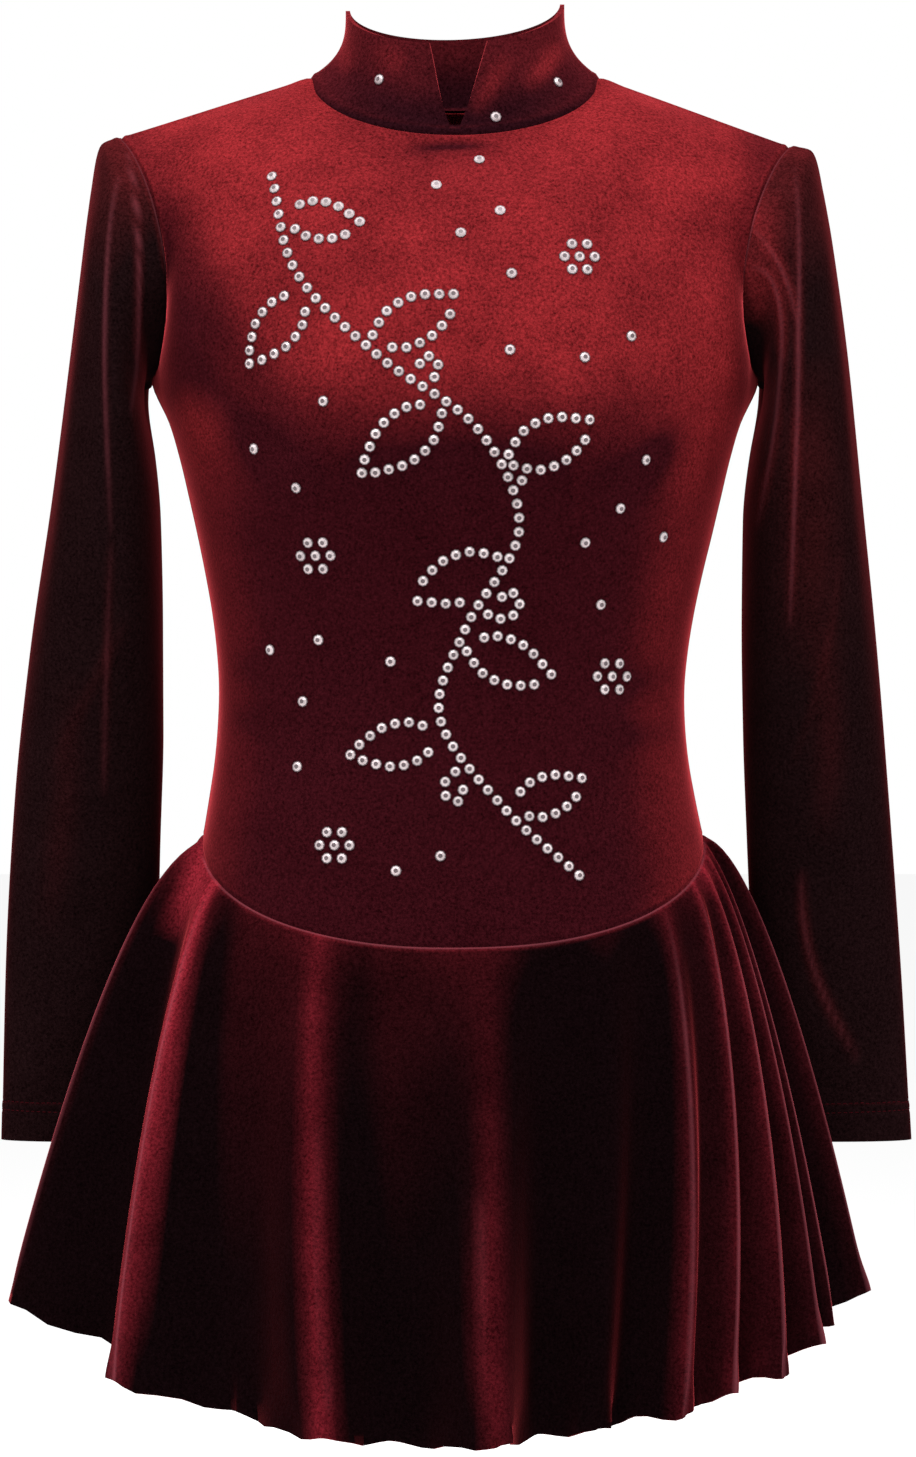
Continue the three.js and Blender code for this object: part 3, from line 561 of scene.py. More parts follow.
def collar_columns():
    """Each column: its angle at the seam and at the top edge, and the share of the height that the notch leaves."""

    def notch_side(notch, shares, turn):
        return [
            (turn + mix(*notch["seam"], share), turn + mix(*notch["top"], share), mix(NOTCH_FLOOR, 1, share))
            for share in shares
        ]

    shares = np.linspace(0, 1, NOTCH_COLUMNS)
    columns = notch_side(NOTCH_LEFT, shares, 0)
    ends = [(NOTCH_LEFT["seam"][1], NOTCH_LEFT["lean"]), (360 + NOTCH_RIGHT["seam"][1], NOTCH_RIGHT["lean"])]
    for angle in np.linspace(ends[0][0], ends[1][0], COLLAR_COLUMNS)[1:-1]:
        lean = sum(max(0, 1 - abs(angle - end) / LEAN_ENDS) * most for end, most in ends)
        columns.append((angle, angle + lean, 1))
    return columns + notch_side(NOTCH_RIGHT, shares[::-1], 360)


def collar_rows():
    """The collar's grid, from its top edge down to the neck seam."""
    rows = []
    for k in range(COLLAR_ROWS, -1, -1):
        row = []
        for seam, top, height in collar_columns():
            lift = height * k / COLLAR_ROWS
            inward = 1 - (1 - lift) ** COLLAR_FLARE
            across = mix(lift, inward, (height - NOTCH_FLOOR) / (1 - NOTCH_FLOOR))
            low, high = neck_point(NECK, seam), neck_point(COLLAR_TOP, top)
            row.append((mix(low[0], high[0], across), mix(low[1], high[1], inward), mix(low[2], high[2], lift)))
        rows.append(row)
    return np.array(rows)


def fold_at(before, after, across, t):
    """Between one fold and the next, at a share of the skirt's length: how far out it stands, its painted highlight
    and how pale its painted line is."""
    first, last = (f["out"] * (max(t - f["start"], 0) / (1 - f["start"])) ** f["growth"] for f in (before, after))
    toward = (1 - math.cos(math.pi * across)) / 2
    low, high, crest, top = (first, last, toward, after) if last > first else (last, first, 1 - toward, before)
    narrow = max((after["hem"] - before["hem"]) / EVEN_FOLD, CLOSE_FOLD) ** 2
    band = mix(top["waist_highlight"], top["hem_highlight"], t) * crest ** (BAND_POWER * narrow)
    line = top["line"] * min(1, LINE_START * t) * crest ** (LINE_POWER * narrow * (LINE_FLARE + t))
    return mix(low, high, crest**CREST_POWER), (band, line)


def skirt_point(angle, out, t):
    """A point of the skirt, by degrees round, by how far out its fold stands there and at the hem, and by share of its
    length, which stays the same however far it spreads."""
    start = torso(angle, seam_height(angle))
    across, facing = math.sin(math.radians(angle)), math.cos(math.radians(angle))
    outward = np.array((across, -facing, 0))
    depth = SKIRT_HEM["front" if facing > 0 else "back"]
    oval = np.array((SKIRT_HEM["side"] * across, -depth * facing, 0))
    length = SKIRT_LENGTH["centre"] - SKIRT_LENGTH["side_less"] * abs(across) - SKIRT_LENGTH["left_less"] * across
    length += CREST_DIP["share"] * max(-CREST_DIP["most"], min(CREST_DIP["most"], out[1]))
    hem = oval + outward * out[1]
    drop = math.sqrt(length**2 - (hem[0] - start[0]) ** 2 - (hem[1] - start[1]) ** 2)
    spread = t ** mix(SKIRT_SPRING["centre"], SKIRT_SPRING["side"], across**2)
    plain = np.array((mix(start[0], oval[0], spread), mix(start[1], oval[1], spread), start[2] - drop * t))
    return plain + outward * out[0]


def skirt_rows(folds):
    """The skirt's points, and the painted light and shade at each. Its folds hang straighter than its cut spreads."""
    columns = []
    for before, after in zip(folds, folds[1:]):
        for step in range(SKIRT_STEPS):
            columns.append((before, after, (1 - math.cos(math.pi * step / SKIRT_STEPS)) / 2))
    columns.append((folds[-2], folds[-1], 1))
    rows = np.zeros((len(SKIRT_DOWN), len(columns), 3))
    painted_light = np.zeros((len(SKIRT_DOWN), len(columns), 2))
    for i, (before, after, across) in enumerate(columns):
        hem_angle, waist_angle = (mix(before[k], after[k], across) for k in ("hem", "waist"))
        hem_out = fold_at(before, after, across, 1)[0]
        between_light = [read(SKIRT_PAINTED_LIGHT, k, hem_angle) for k in (1, 2)]
        for j, t in enumerate(SKIRT_DOWN):
            out, (band, line) = fold_at(before, after, across, t)
            rows[j, i] = skirt_point(mix(waist_angle, hem_angle, t), (out, hem_out), t)
            painted_light[j, i] = band + mix(*between_light, t**PAINTED_LIGHT_FADE), line
    return rows, painted_light


def ruffle_hem(rows, normals):
    """The cut hem waves a little by itself."""
    away = from_edges(rows)
    near = np.exp(-((away["bottom"] / HEM_WAVE["reach"]) ** 2))
    run = 2 * np.pi * away["left"][-1:] / HEM_WAVE["pitch"]
    wave = np.sin(run + HEM_WAVE["sway"] * np.sin(run / HEM_WAVE["sway_pitch"]))
    rows = rows + normals * (HEM_WAVE["rise"] * near * wave)[..., None]
    rows[..., 2] += HEM_WAVE["lift"] * near * np.sin(run / HEM_WAVE["lift_pitch"] + HEM_WAVE["lift_start"])
    return rows


def brief_rows(face):
    """The brief's front or back, close inside the bodice at its top and free of it below."""
    table = BRIEF_FRONT if face == FRONT else BRIEF_BACK
    side = 1 if face == FRONT else -1
    rows = np.zeros((BRIEF_ROWS + 1, BRIEF_COLUMNS + 1, 3))
    for j in range(BRIEF_ROWS + 1):
        at = j / BRIEF_ROWS
        end_x, end_y, end_z, mid_y, mid_z, wrap = (read(table, k, at) for k in range(1, 7))
        wrap = math.radians(min(wrap, 90))
        flush = min(at / BRIEF_FLUSH, 1)
        for i in range(BRIEF_COLUMNS + 1):
            share = 2 * i / BRIEF_COLUMNS - 1
            bow = (math.cos(share * wrap) - math.cos(wrap)) / (1 - math.cos(wrap))
            x = side * end_x * math.sin(share * wrap) / math.sin(wrap)
            plain = np.array((x, mix(end_y, mid_y, bow), mix(end_z, mid_z, bow)))
            angle = 90 * share if face == FRONT else 180 + 90 * share
            height = seam_height(angle) + BRIEF_RISE - flush * BRIEF_FLUSH_DROP
            body = torso(angle, max(height, TORSO[-1][0]))
            level = np.array((body[0], body[1], 0)) / math.hypot(body[0], body[1])
            rows[j, i] = mix(body - level * BRIEF_INSET, plain, flush * flush * (3 - 2 * flush))
    return rows


# ---- Working a sheet: its directions, distances, seams and creases ----
def directions(rows, closed, facing):
    """Unit vectors out through the cloth at each point."""
    if closed:
        across = np.roll(rows, -1, 1) - np.roll(rows, 1, 1)
    else:
        across = np.gradient(rows, axis=1)
    normals = np.cross(np.gradient(rows, axis=0), across) * facing
    return normals / np.maximum(np.linalg.norm(normals, axis=-1, keepdims=True), 1e-9)


def lengths(rows, axis):
    """How far along the cloth each point is from the sheet's first row or column, and how long the whole is."""
    steps = np.linalg.norm(np.diff(rows, axis=axis), axis=-1)
    zero = np.zeros_like(np.take(steps, [0], axis=axis))
    run = np.cumsum(np.concatenate([zero, steps], axis=axis), axis=axis)
    return run, np.take(run, [-1], axis=axis)


def from_edges(rows):
    """How far each point of a sheet is from each of its edges, along the cloth."""
    down, tall = lengths(rows, 0)
    over, wide = lengths(rows, 1)
    return dict(top=down, bottom=tall - down, left=over, right=wide - over)


def seam_groove(rows, normals, sewn):
    """Turns the cloth in along its sewn edges, each by its share of the whole depth, with a low roll beside it."""
    away = from_edges(rows)
    for edge, share in sewn.items():
        for depth, width, inset in (TURNED_IN, ROLLED):
            rows = rows - normals * (share * depth * np.exp(-(((away[edge] - inset) / width) ** 2)))[..., None]
    return rows


def painted_seam_light(rows, edges):
    """Painted highlights beside a seam: a soft band and a pale line along the roll beside it."""
    away = from_edges(rows)
    light = no_light(rows)
    for edge, amounts in edges.items():
        for k, (most, (inset, width)) in enumerate(zip(amounts, (EDGE_BAND, EDGE_LINE))):
            light[..., k] += most * np.exp(-(((away[edge] - inset) / width) ** 2))
    return light


def no_light(rows):
    return np.zeros(rows.shape[:2] + (2,))


def soft_light(amount):
    """Painted light of that amount with no painted line in it."""
    return np.stack([amount, np.zeros(amount.shape)], axis=-1)


def press(rows, normals, painted_light, creases, facing_y):
    """Soft troughs, with painted shade in them. Each crease runs between two points seen from the front, with a
    depth and a width."""
    x, z = rows[..., 0], rows[..., 2]
    near = np.clip(normals[..., 1] * facing_y / FULL_CREASE, 0, 1)
    for x0, z0, x1, z1, depth, width in creases:
        run = np.array((x1 - x0, z1 - z0))
        reach = np.hypot(*run)
        along = ((x - x0) * run[0] + (z - z0) * run[1]) / reach**2
        off = ((x - x0) * run[1] - (z - z0) * run[0]) / reach
        taper = np.sin(np.pi * np.clip(along, 0, 1)) ** CREASE_TAPER
        hollow = near * taper * np.exp(-((off / width) ** 2))
        rows = rows - normals * (depth * hollow)[..., None]
        painted_light = painted_light - soft_light(CREASE_SHADE * min(depth, SHADE_DEPTH) * hollow)
    return rows, painted_light


def ridges_with_painted_light(rows, normals, painted_light, ridges):
    """Ridges of the cloth on the front: each runs in a curve, with a soft band of painted light and a pale painted
    line on it.
    """
    x, z = rows[..., 0], rows[..., 2]
    ahead = np.clip(-normals[..., 1] / FULL_RIDGE, 0, 1)
    for x0, z0, x1, z1, x2, z2, high, width, band, line in ridges:
        s = np.linspace(0, 1, RIDGE_STEPS)
        away, nearest = np.full(x.shape, 1e9), np.zeros(x.shape)
        for share, px, pz in zip(s, bend(x0, x1, x2, s), bend(z0, z1, z2, s)):
            far = (x - px) ** 2 + (z - pz) ** 2
            nearest = np.where(far < away, share, nearest)
            away = np.minimum(far, away)
        taper = np.sin(np.pi * nearest) ** (1 if width > WIDE_BAND else 0.5) * ahead
        soft, thin = (taper * np.exp(-away / w**2) for w in (width, min(width, LINE_WIDTH)))
        rows = rows + normals * (high * soft)[..., None]
        painted_light = painted_light + np.stack([band * soft, line * thin], axis=-1)
    return rows, painted_light


def lay_cloth(name, rows, painted_light, closed, facing, thickness):
    """A grid primitive whose points are moved to the sheet's, closed to a tube if asked, and given its thickness. Each
    point carries its painted light and shade, and how pale a painted highlight line runs over it."""
    if closed:
        rows = np.concatenate([rows, rows[:, :1]], axis=1)
        painted_light = np.concatenate([painted_light, painted_light[:, :1]], axis=1)
    if facing < 0:
        rows, painted_light = rows[:, ::-1], painted_light[:, ::-1]
    high, wide = painted_light.shape[:2]
    bpy.ops.mesh.primitive_grid_add(x_subdivisions=wide - 1, y_subdivisions=high - 1, size=1)
    piece = bpy.context.object
    piece.name = piece.data.name = name
    grid = np.zeros(len(piece.data.vertices) * 3)
    piece.data.vertices.foreach_get("co", grid)
    grid = grid.reshape(-1, 3)
    across = np.rint((grid[:, 0] + 0.5) * (wide - 1)).astype(int)
    down = np.rint((0.5 - grid[:, 1]) * (high - 1)).astype(int)
    piece.data.vertices.foreach_set("co", (rows[down, across] * MM).ravel())
    # each point's painted light and shade, and its painted highlight line, kept as attributes
    for k, kind in enumerate(("painted_light", "line")):
        painted_gleam = piece.data.attributes.new(kind, "FLOAT", "POINT")
        painted_gleam.data.foreach_set("value", painted_light[down, across, k].astype(np.float32))
    if closed:
        bpy.ops.object.mode_set(mode="EDIT")
        bpy.ops.mesh.select_all(action="SELECT")
        bpy.ops.mesh.remove_doubles(threshold=MERGE_WITHIN)
        bpy.ops.object.mode_set(mode="OBJECT")
    thicken(piece, thickness)
    return piece


def thicken(piece, thickness):
    bpy.context.view_layer.objects.active = piece
    solid = piece.modifiers.new("wall", "SOLIDIFY")
    solid.thickness = thickness * MM
    solid.offset = 0
    solid.use_even_offset = False
    solid.material_offset = 1
    solid.material_offset_rim = 0
    bpy.ops.object.modifier_apply(modifier=solid.name)
    bpy.ops.object.shade_smooth_by_angle(angle=math.radians(SMOOTH_ANGLE))
    piece.select_set(False)


# ---- Finishes ----
SHEEN_TINT = (1.0, 0.1, 0.12)
# the colour of the pale painted highlight lines
PAINTED_LINE_COLOUR = (0.29, 0.068, 0.088)
PILE_SCALE = dict(grain=1300, tufts=640, patches=30)  # how many to a metre, about
PILE_MIX = dict(patchy_light=0.8, grain=0.4, tufts=0.6, patches=0.5)  # how much each counts for
PILE_DEPTH = 0.0006


def add_node(tree, kind, feeds, **settings):
    """Adds a node with its settings. Feeds says for a socket what value it has, or what output it is linked to."""
    node = tree.nodes.new("ShaderNode" + kind)
    for setting, value in settings.items():
        setattr(node, setting, value)
    for socket, value in feeds.items():
        if isinstance(value, bpy.types.NodeSocket):
            tree.links.new(value, node.inputs[socket])
        else:
            node.inputs[socket].default_value = value
    return node


def new_material(name):
    material = bpy.data.materials.new(name)
    material.use_nodes = True
    material.node_tree.nodes.clear()
    return material, material.node_tree


def finish(tree, feeds):
    shader = add_node(tree, "BsdfPrincipled", feeds)
    add_node(tree, "OutputMaterial", {"Surface": shader.outputs["BSDF"]})


def pile_group():
    """Velvet pile: a fine grain and soft patches of tone, and a mix from the deep red to the lit red by the painted
    light it is given, made patchy by the same patches; a painted highlight line mixes it towards the pale colour."""
    group = bpy.data.node_groups.new("velvet_pile", "ShaderNodeTree")
    for in_out, kind, names in (
        ("INPUT", "Vector", ("Place",)),
        ("INPUT", "Color", ("Deep", "Lit", "PaintedLineColour")),
        ("INPUT", "Float", ("Lift", "Line", "Grain")),
        ("OUTPUT", "Color", ("Color",)),
        ("OUTPUT", "Float", ("Height",)),
    ):
        for name in names:
            group.interface.new_socket(name, in_out=in_out, socket_type="NodeSocket" + kind)
    entry = group.nodes.new("NodeGroupInput")
    leave = group.nodes.new("NodeGroupOutput")

    def noise(scale, detail):
        feeds = {"Scale": scale, "Detail": detail, "Vector": entry.outputs["Place"]}
        return add_node(group, "TexNoise", feeds).outputs["Fac"]

    def maths(operation, a, b):
        return add_node(group, "Math", {0: a, 1: b}, operation=operation).outputs[0]

    def blend(share, low, high):
        feeds = {"Factor": share, 6: low, 7: high}
        return add_node(group, "Mix", feeds, data_type="RGBA", clamp_factor=True).outputs[2]

    fine, tufts = noise(PILE_SCALE["grain"], 2), noise(PILE_SCALE["tufts"], 2)
    patches = maths("SUBTRACT", noise(PILE_SCALE["patches"], 3), 0.5)
    patchy_light = maths("ADD", maths("MULTIPLY", patches, PILE_MIX["patchy_light"]), 1.0)
    red = blend(maths("MULTIPLY", entry.outputs["Lift"], patchy_light), entry.outputs["Deep"], entry.outputs["Lit"])
    speckle = maths("MULTIPLY", fine, PILE_MIX["grain"])
    speckle = maths("ADD", speckle, maths("MULTIPLY", tufts, PILE_MIX["tufts"]))
    grain = maths("MULTIPLY", maths("SUBTRACT", speckle, 0.5), entry.outputs["Grain"])
    grain = maths("ADD", maths("ADD", grain, maths("MULTIPLY", patches, PILE_MIX["patches"])), 1.0)
    speckled = add_node(group, "VectorMath", {0: red, "Scale": grain}, operation="SCALE").outputs[0]
    group.links.new(blend(entry.outputs["Line"], speckled, entry.outputs["PaintedLineColour"]), leave.inputs["Color"])
    group.links.new(speckle, leave.inputs["Height"])
    return group


PILE = pile_group()


def velvet(name, deep, lit, sheen, grain=3.6, tilt=(0.3, 0.9, 0.3)):
    """Stretch velvet with painted light. Tilt says from what slope to what slope the colour is lifted towards the lit
    red as painted light where the surface faces up, and how far; the painted light and line that the cloth carries add
    to it.
    """
    material, tree = new_material(name)
    place = add_node(tree, "TexCoord", {}).outputs["Object"]
    up = add_node(tree, "SeparateXYZ", {0: add_node(tree, "NewGeometry", {}).outputs["Normal"]}).outputs["Z"]
    slope = {"From Min": tilt[0], "From Max": tilt[1], "To Min": 0.0, "To Max": tilt[2], "Value": up}
    lift = add_node(tree, "MapRange", slope).outputs["Result"]
    # the painted light and the painted highlight line carried by each point
    painted_gleam, line = (add_node(tree, "Attribute", {}, attribute_name=kind).outputs["Fac"] for kind in ("painted_light", "line"))
    total = add_node(tree, "Math", {0: lift, 1: painted_gleam}, operation="ADD").outputs[0]
    reds = {"Deep": (*deep, 1), "Lit": (*lit, 1), "PaintedLineColour": (*PAINTED_LINE_COLOUR, 1)}
    feeds = {**reds, "Grain": grain, "Line": line, "Place": place, "Lift": total}
    pile = add_node(tree, "Group", feeds, node_tree=PILE)
    bump = add_node(tree, "Bump", {"Strength": 0.35, "Distance": PILE_DEPTH, "Height": pile.outputs["Height"]})
    finish(tree, {
        "Base Color": pile.outputs["Color"],
        "Normal": bump.outputs["Normal"],
        "Roughness": 0.85,
        "Specular IOR Level": 0.0,
        "Sheen Weight": sheen,
        "Sheen Roughness": 0.3,
        "Sheen Tint": (*SHEEN_TINT, 1),
    })
    return material


# One stretch velvet, set darker on the sleeves, the skirt and the collar than on the bodice, as painted shade; the
# knit back is the cloth's reverse, set dark as painted shade where the inside shows
VELVET_RED = velvet("velvet_red", (0.027, 0.003, 0.005), (0.185, 0.0125, 0.015), 0.75, tilt=(0, 0.45, 0.35))
SKIRT_RED_SHADED = velvet("skirt_red_shaded", (0.0035, 0.0014, 0.0018), (0.2, 0.0125, 0.021), 0.4)
SLEEVE_RED_SHADED = velvet("sleeve_red_shaded", (0.008, 0.003, 0.0034), (0.16, 0.012, 0.015), 0.13, tilt=(0.1, 0.9, 0.3))
COLLAR_RED_SHADED = velvet("collar_red_shaded", (0.014, 0.0026, 0.0045), (0.16, 0.012, 0.015), 0.5)
JERSEY_RED = velvet("jersey_red", (0.016, 0.002, 0.004), (0.04, 0.003, 0.006), 0.2, grain=1.2)
KNIT_BACK = velvet("knit_back", (0.012, 0.0016, 0.0026), (0.016, 0.002, 0.003), 0.05, grain=1.2)


def dress_in(piece, material, node):
    """Its outer face and cut edges in one finish, its inner face in the knit back, the cloth's reverse, set dark as
    painted shade.
    """
    piece.data.materials.clear()
    piece.data.materials.append(material)
    piece.data.materials.append(KNIT_BACK)
    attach(piece, "root")
    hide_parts(node)


# ---- Camera, lights and floor ----
CAMERA_AWAY = 2600
CAMERA_AT = (1.65, -CAMERA_AWAY, -353.9)
FRAME_TALL = 801.35
SENSOR = 36
# name, place, what it is aimed at, size, watts
LAMPS = [
    ("overhead_soft", (-0.1, -0.75, 1.6), (0, 0, -0.15), (1.4, 0.7), 62),
    ("left_soft", (-2.2, 0.1, 0.1), (0, 0, -0.35), (0.7, 1.5), 17),
    ("right_soft", (2.2, 0.1, 0.1), (0, 0, -0.35), (0.7, 1.5), 16),
    ("back_soft", (0, 2.2, 0.9), (0, 0, -0.35), (1.6, 1.2), 26),
]
WHITE = (1, 1, 1, 1)
WORLD_LIGHT = 0.2
FLOOR_SIZE, FLOOR_HEIGHT = 40, -1.05


def set_stage():
    bpy.ops.object.camera_add(location=[v * MM for v in CAMERA_AT], rotation=(math.radians(90), 0, 0))
    camera = bpy.context.object
    camera.data.sensor_width = SENSOR
    camera.data.lens = SENSOR * CAMERA_AWAY / FRAME_TALL
    bpy.context.scene.camera = camera

    for name, place, aim, size, watts in LAMPS:
        bpy.ops.object.light_add(type="AREA", location=place)
        light = bpy.context.object
        light.name = name
        light.data.shape = "RECTANGLE"
        light.data.size, light.data.size_y = size
        light.data.energy = watts
        light.rotation_euler = (Vector(aim) - Vector(place)).to_track_quat("-Z", "Y").to_euler()

    world = bpy.data.worlds.new("studio")
    bpy.context.scene.world = world
    world.use_nodes = True
    tree = world.node_tree
    tree.nodes.clear()
    seen = add_node(tree, "Background", {"Color": WHITE, "Strength": 1.0}).outputs[0]
    lights = add_node(tree, "Background", {"Color": WHITE, "Strength": WORLD_LIGHT}).outputs[0]
    camera_ray = add_node(tree, "LightPath", {}).outputs["Is Camera Ray"]
    choose = add_node(tree, "MixShader", {0: camera_ray, 1: lights, 2: seen}).outputs[0]
    add_node(tree, "OutputWorld", {"Surface": choose})

    bpy.ops.mesh.primitive_plane_add(size=FLOOR_SIZE, location=(0, 0, FLOOR_HEIGHT))
    floor = bpy.context.object
    floor.name = "floor"
    material, tree = new_material("pale_floor")
    finish(tree, {
        "Base Color": (0.9, 0.9, 0.9, 1),
        "Roughness": 0.9,
        "Specular IOR Level": 0.0,
        "Emission Color": WHITE,
        "Emission Strength": 0.75,
    })
    floor.data.materials.append(material)
    floor.select_set(False)
    bpy.context.scene.view_settings.view_transform = "Standard"


set_stage()

# ---- Making the dress ----
BODICE = (VELVET_RED, "velvet", VELVET_THICKNESS)
SLEEVES = (SLEEVE_RED_SHADED, "velvet", VELVET_THICKNESS)
SKIRT = (SKIRT_RED_SHADED, "skirt_velvet", VELVET_THICKNESS)
COLLAR = (COLLAR_RED_SHADED, "collar_velvet", COLLAR_THICKNESS)
BRIEF = (JERSEY_RED, "jersey", BRIEF_THICKNESS)
# what share of a whole seam's depth each sewn edge has, then how much painted light its band and its line beside the
# seam have
EVERY_EDGE = dict(top=1, bottom=0.35, left=1, right=1)
SKIRT_SEWN = dict(top=0.35, left=1, right=1)
PAINTED_SEAM_SIDE_LIGHT = dict(left=(0.15, 0), right=(0.15, 0))
PAINTED_SEAM_WAIST_LIGHT = dict(top=(0.08, 0.45))

# Painted light on the chest: how much, where it ends below and how softly, its edge in from the wearer's right
# armhole, where it ends at the other side, and how much brighter it is at the bust
PAINTED_CHEST_LIGHT = dict(most=0.6, foot=-188, soft=13, edge_top=(-160, -50), edge_foot=(-80, -190), edge_soft=6)
PAINTED_CHEST_RIGHT_EDGE = dict(x=157, soft=5)
PAINTED_BUST_LIGHT = dict(most=0.45, height=-150, tall=30)
# painted light on the waist's sides: how much, from how far round the side, how softly
PAINTED_LEFT_SIDE_LIGHT, PAINTED_RIGHT_SIDE_LIGHT = (0.3, 0.76, 0.035), (0.14, 0.84, 0.03)
# painted light and shade, each by how much, from what height, how softly: where the sides' painted light ends above,
# painted shade at the top by the neck and low on the belly, painted light on the shoulder blades and painted shade on
# the small of the back
SIDES_BELOW = (1, -145, 10)
NECK_SHADE = (0.12, -78, 10)
BELLY_SHADE = (0.1, -350, 12)
PAINTED_BLADE_LIGHT = (0.42, -150, 26)
PAINTED_SMALL_OF_BACK_SHADE = (0.16, -322, 16)
# painted light on the back: how far out from the middle it reaches, how softly
PAINTED_BACK_LIGHT = dict(half=135, soft=14)
# painted light on the collar: how much, from what height above the seam, how softly
PAINTED_COLLAR_LIGHT = (0.28, 24, 5)
# Painted lights and shades of the chest: x and z of the middle, how wide, how tall, how much
PAINTED_CHEST_SPOTS = [
    (-131, -188, 28, 32, 0.42),
    (127, -200, 13, 28, 0.34),
    (-160, -160, 8, 26, -0.5),
    (160, -160, 8, 26, -0.5),
    (-2, -46, 48, 36, -0.22),
    (1, -44, 22, 9, -0.2),
]


def sewn_piece(
    name, rows, painted_light, cloth, sewn, painted_seam_lights=None, closed=False, facing=1, front_creases=(), back_creases=(),
    ridges=(), hem=None,
):
    """A piece of the dress in place of the frame's: creased, with painted shade in the creases, ridged, with painted
    highlights on the ridges and beside the seams, its hem worked, its seams turned in. Its points come back with it."""
    material, slot, thickness = cloth
    normals = directions(rows, closed, facing)
    rows, painted_light = press(rows, normals, painted_light, front_creases, FRONT)
    rows, painted_light = press(rows, normals, painted_light, back_creases, BACK)
    rows, painted_light = ridges_with_painted_light(rows, normals, painted_light, ridges)
    if hem:
        rows = hem(rows, normals)
    if painted_seam_lights:
        painted_light = painted_light + painted_seam_light(rows, painted_seam_lights)
    rows = seam_groove(rows, normals, sewn)
    piece = lay_cloth(name, rows, painted_light, closed, facing, thickness)
    dress_in(piece, material, name)
    return piece, rows


def fade_in(value, soft):
    return 1 / (1 + np.exp(-value / soft))


def upwards(height, most, start, soft):
    return most * fade_in(height - start, soft)


def downwards(height, most, start, soft):
    return most * fade_in(start - height, soft)


def chest_painted_light(rows):
    """Painted light on the chest from the top down to the bust and in from the wearer's right armhole, and painted
    light on the sides of the waist, the wearer's left one most; painted shade at the neck, the armpits and low on the
    belly."""
    x, z = rows[..., 0], rows[..., 2]
    above = fade_in(z - PAINTED_CHEST_LIGHT["foot"], PAINTED_CHEST_LIGHT["soft"])
    run = np.array(PAINTED_CHEST_LIGHT["edge_foot"]) - np.array(PAINTED_CHEST_LIGHT["edge_top"])
    off = ((x - PAINTED_CHEST_LIGHT["edge_top"][0]) * -run[1] + (z - PAINTED_CHEST_LIGHT["edge_top"][1]) * run[0]) / np.hypot(*run)
    between = fade_in(off, PAINTED_CHEST_LIGHT["edge_soft"]) * fade_in(PAINTED_CHEST_RIGHT_EDGE["x"] - x, PAINTED_CHEST_RIGHT_EDGE["soft"])
    bust = 1 + PAINTED_BUST_LIGHT["most"] * np.exp(-(((z - PAINTED_BUST_LIGHT["height"]) / PAINTED_BUST_LIGHT["tall"]) ** 2))
    light = PAINTED_CHEST_LIGHT["most"] * bust * above * between
    table = np.array(TORSO)[::-1]
    side = x / np.interp(z, table[:, 0], table[:, 1])
    light += downwards(z, *SIDES_BELOW) * (upwards(side, *PAINTED_LEFT_SIDE_LIGHT) + upwards(-side, *PAINTED_RIGHT_SIDE_LIGHT))
    for middle_x, middle_z, wide, tall, most in PAINTED_CHEST_SPOTS:
        light += most * np.exp(-(((x - middle_x) / wide) ** 2) - ((z - middle_z) / tall) ** 2)
    return soft_light(light - upwards(z, *NECK_SHADE) - downwards(z, *BELLY_SHADE))


def back_painted_light(rows):
    """Painted light on the shoulder blades, and painted shade on the small of the back."""
    x, z = rows[..., 0], rows[..., 2]
    blades = upwards(z, *PAINTED_BLADE_LIGHT) * fade_in(PAINTED_BACK_LIGHT["half"] - np.abs(x), PAINTED_BACK_LIGHT["soft"])
    return soft_light(blades - downwards(z, *PAINTED_SMALL_OF_BACK_SHADE))


def collar_painted_light(rows):
    """Painted light on the collar's upper half."""
    return soft_light(upwards(from_edges(rows)["bottom"], *PAINTED_COLLAR_LIGHT))


front_rows = refine(bodice_panel(FRONT), FINE)
back_rows = refine(bodice_panel(BACK), FINE)
left_rows, left_shine = sleeve_rings(front_rows, back_rows, "left")
right_rows, right_shine = sleeve_rings(front_rows, back_rows, "right")

front_rows, back_rows = fine_edges(front_rows), fine_edges(back_rows)
bodice_front, _ = sewn_piece(
    "bodice_front", front_rows, chest_painted_light(front_rows), BODICE, EVERY_EDGE, PAINTED_SEAM_SIDE_LIGHT, front_creases=FRONT_CREASES
)
bodice_back, _ = sewn_piece(
    "bodice_back", back_rows, back_painted_light(back_rows), BODICE, EVERY_EDGE, PAINTED_SEAM_SIDE_LIGHT, back_creases=BACK_CREASES
)
sleeve_left, left_rows = sewn_piece(
    "sleeve_left", left_rows, left_shine, SLEEVES, dict(top=1), dict(top=(0.1, 0.25)), closed=True, facing=-1,
    front_creases=LEFT_HOLLOWS, ridges=LEFT_RIDGES, hem=turn_up_cuff,
)
sleeve_right, right_rows = sewn_piece(
    "sleeve_right", right_rows, right_shine, SLEEVES, dict(top=1), dict(top=(0.1, 0.2)), closed=True,
    front_creases=RIGHT_HOLLOWS, ridges=RIGHT_RIDGES, hem=turn_up_cuff,
)
collar_grid = collar_rows()
collar, _ = sewn_piece(
    "collar", collar_grid, collar_painted_light(collar_grid), COLLAR, dict(bottom=1), closed=True, ridges=COLLAR_RIDGES
)
skirt_front, _ = sewn_piece(
    "skirt_front", *skirt_rows(FRONT_FOLDS), SKIRT, SKIRT_SEWN, PAINTED_SEAM_WAIST_LIGHT, ridges=SKIRT_RIDGES, hem=ruffle_hem
)
skirt_back, _ = sewn_piece("skirt_back", *skirt_rows(BACK_FOLDS), SKIRT, SKIRT_SEWN, PAINTED_SEAM_WAIST_LIGHT, hem=ruffle_hem)
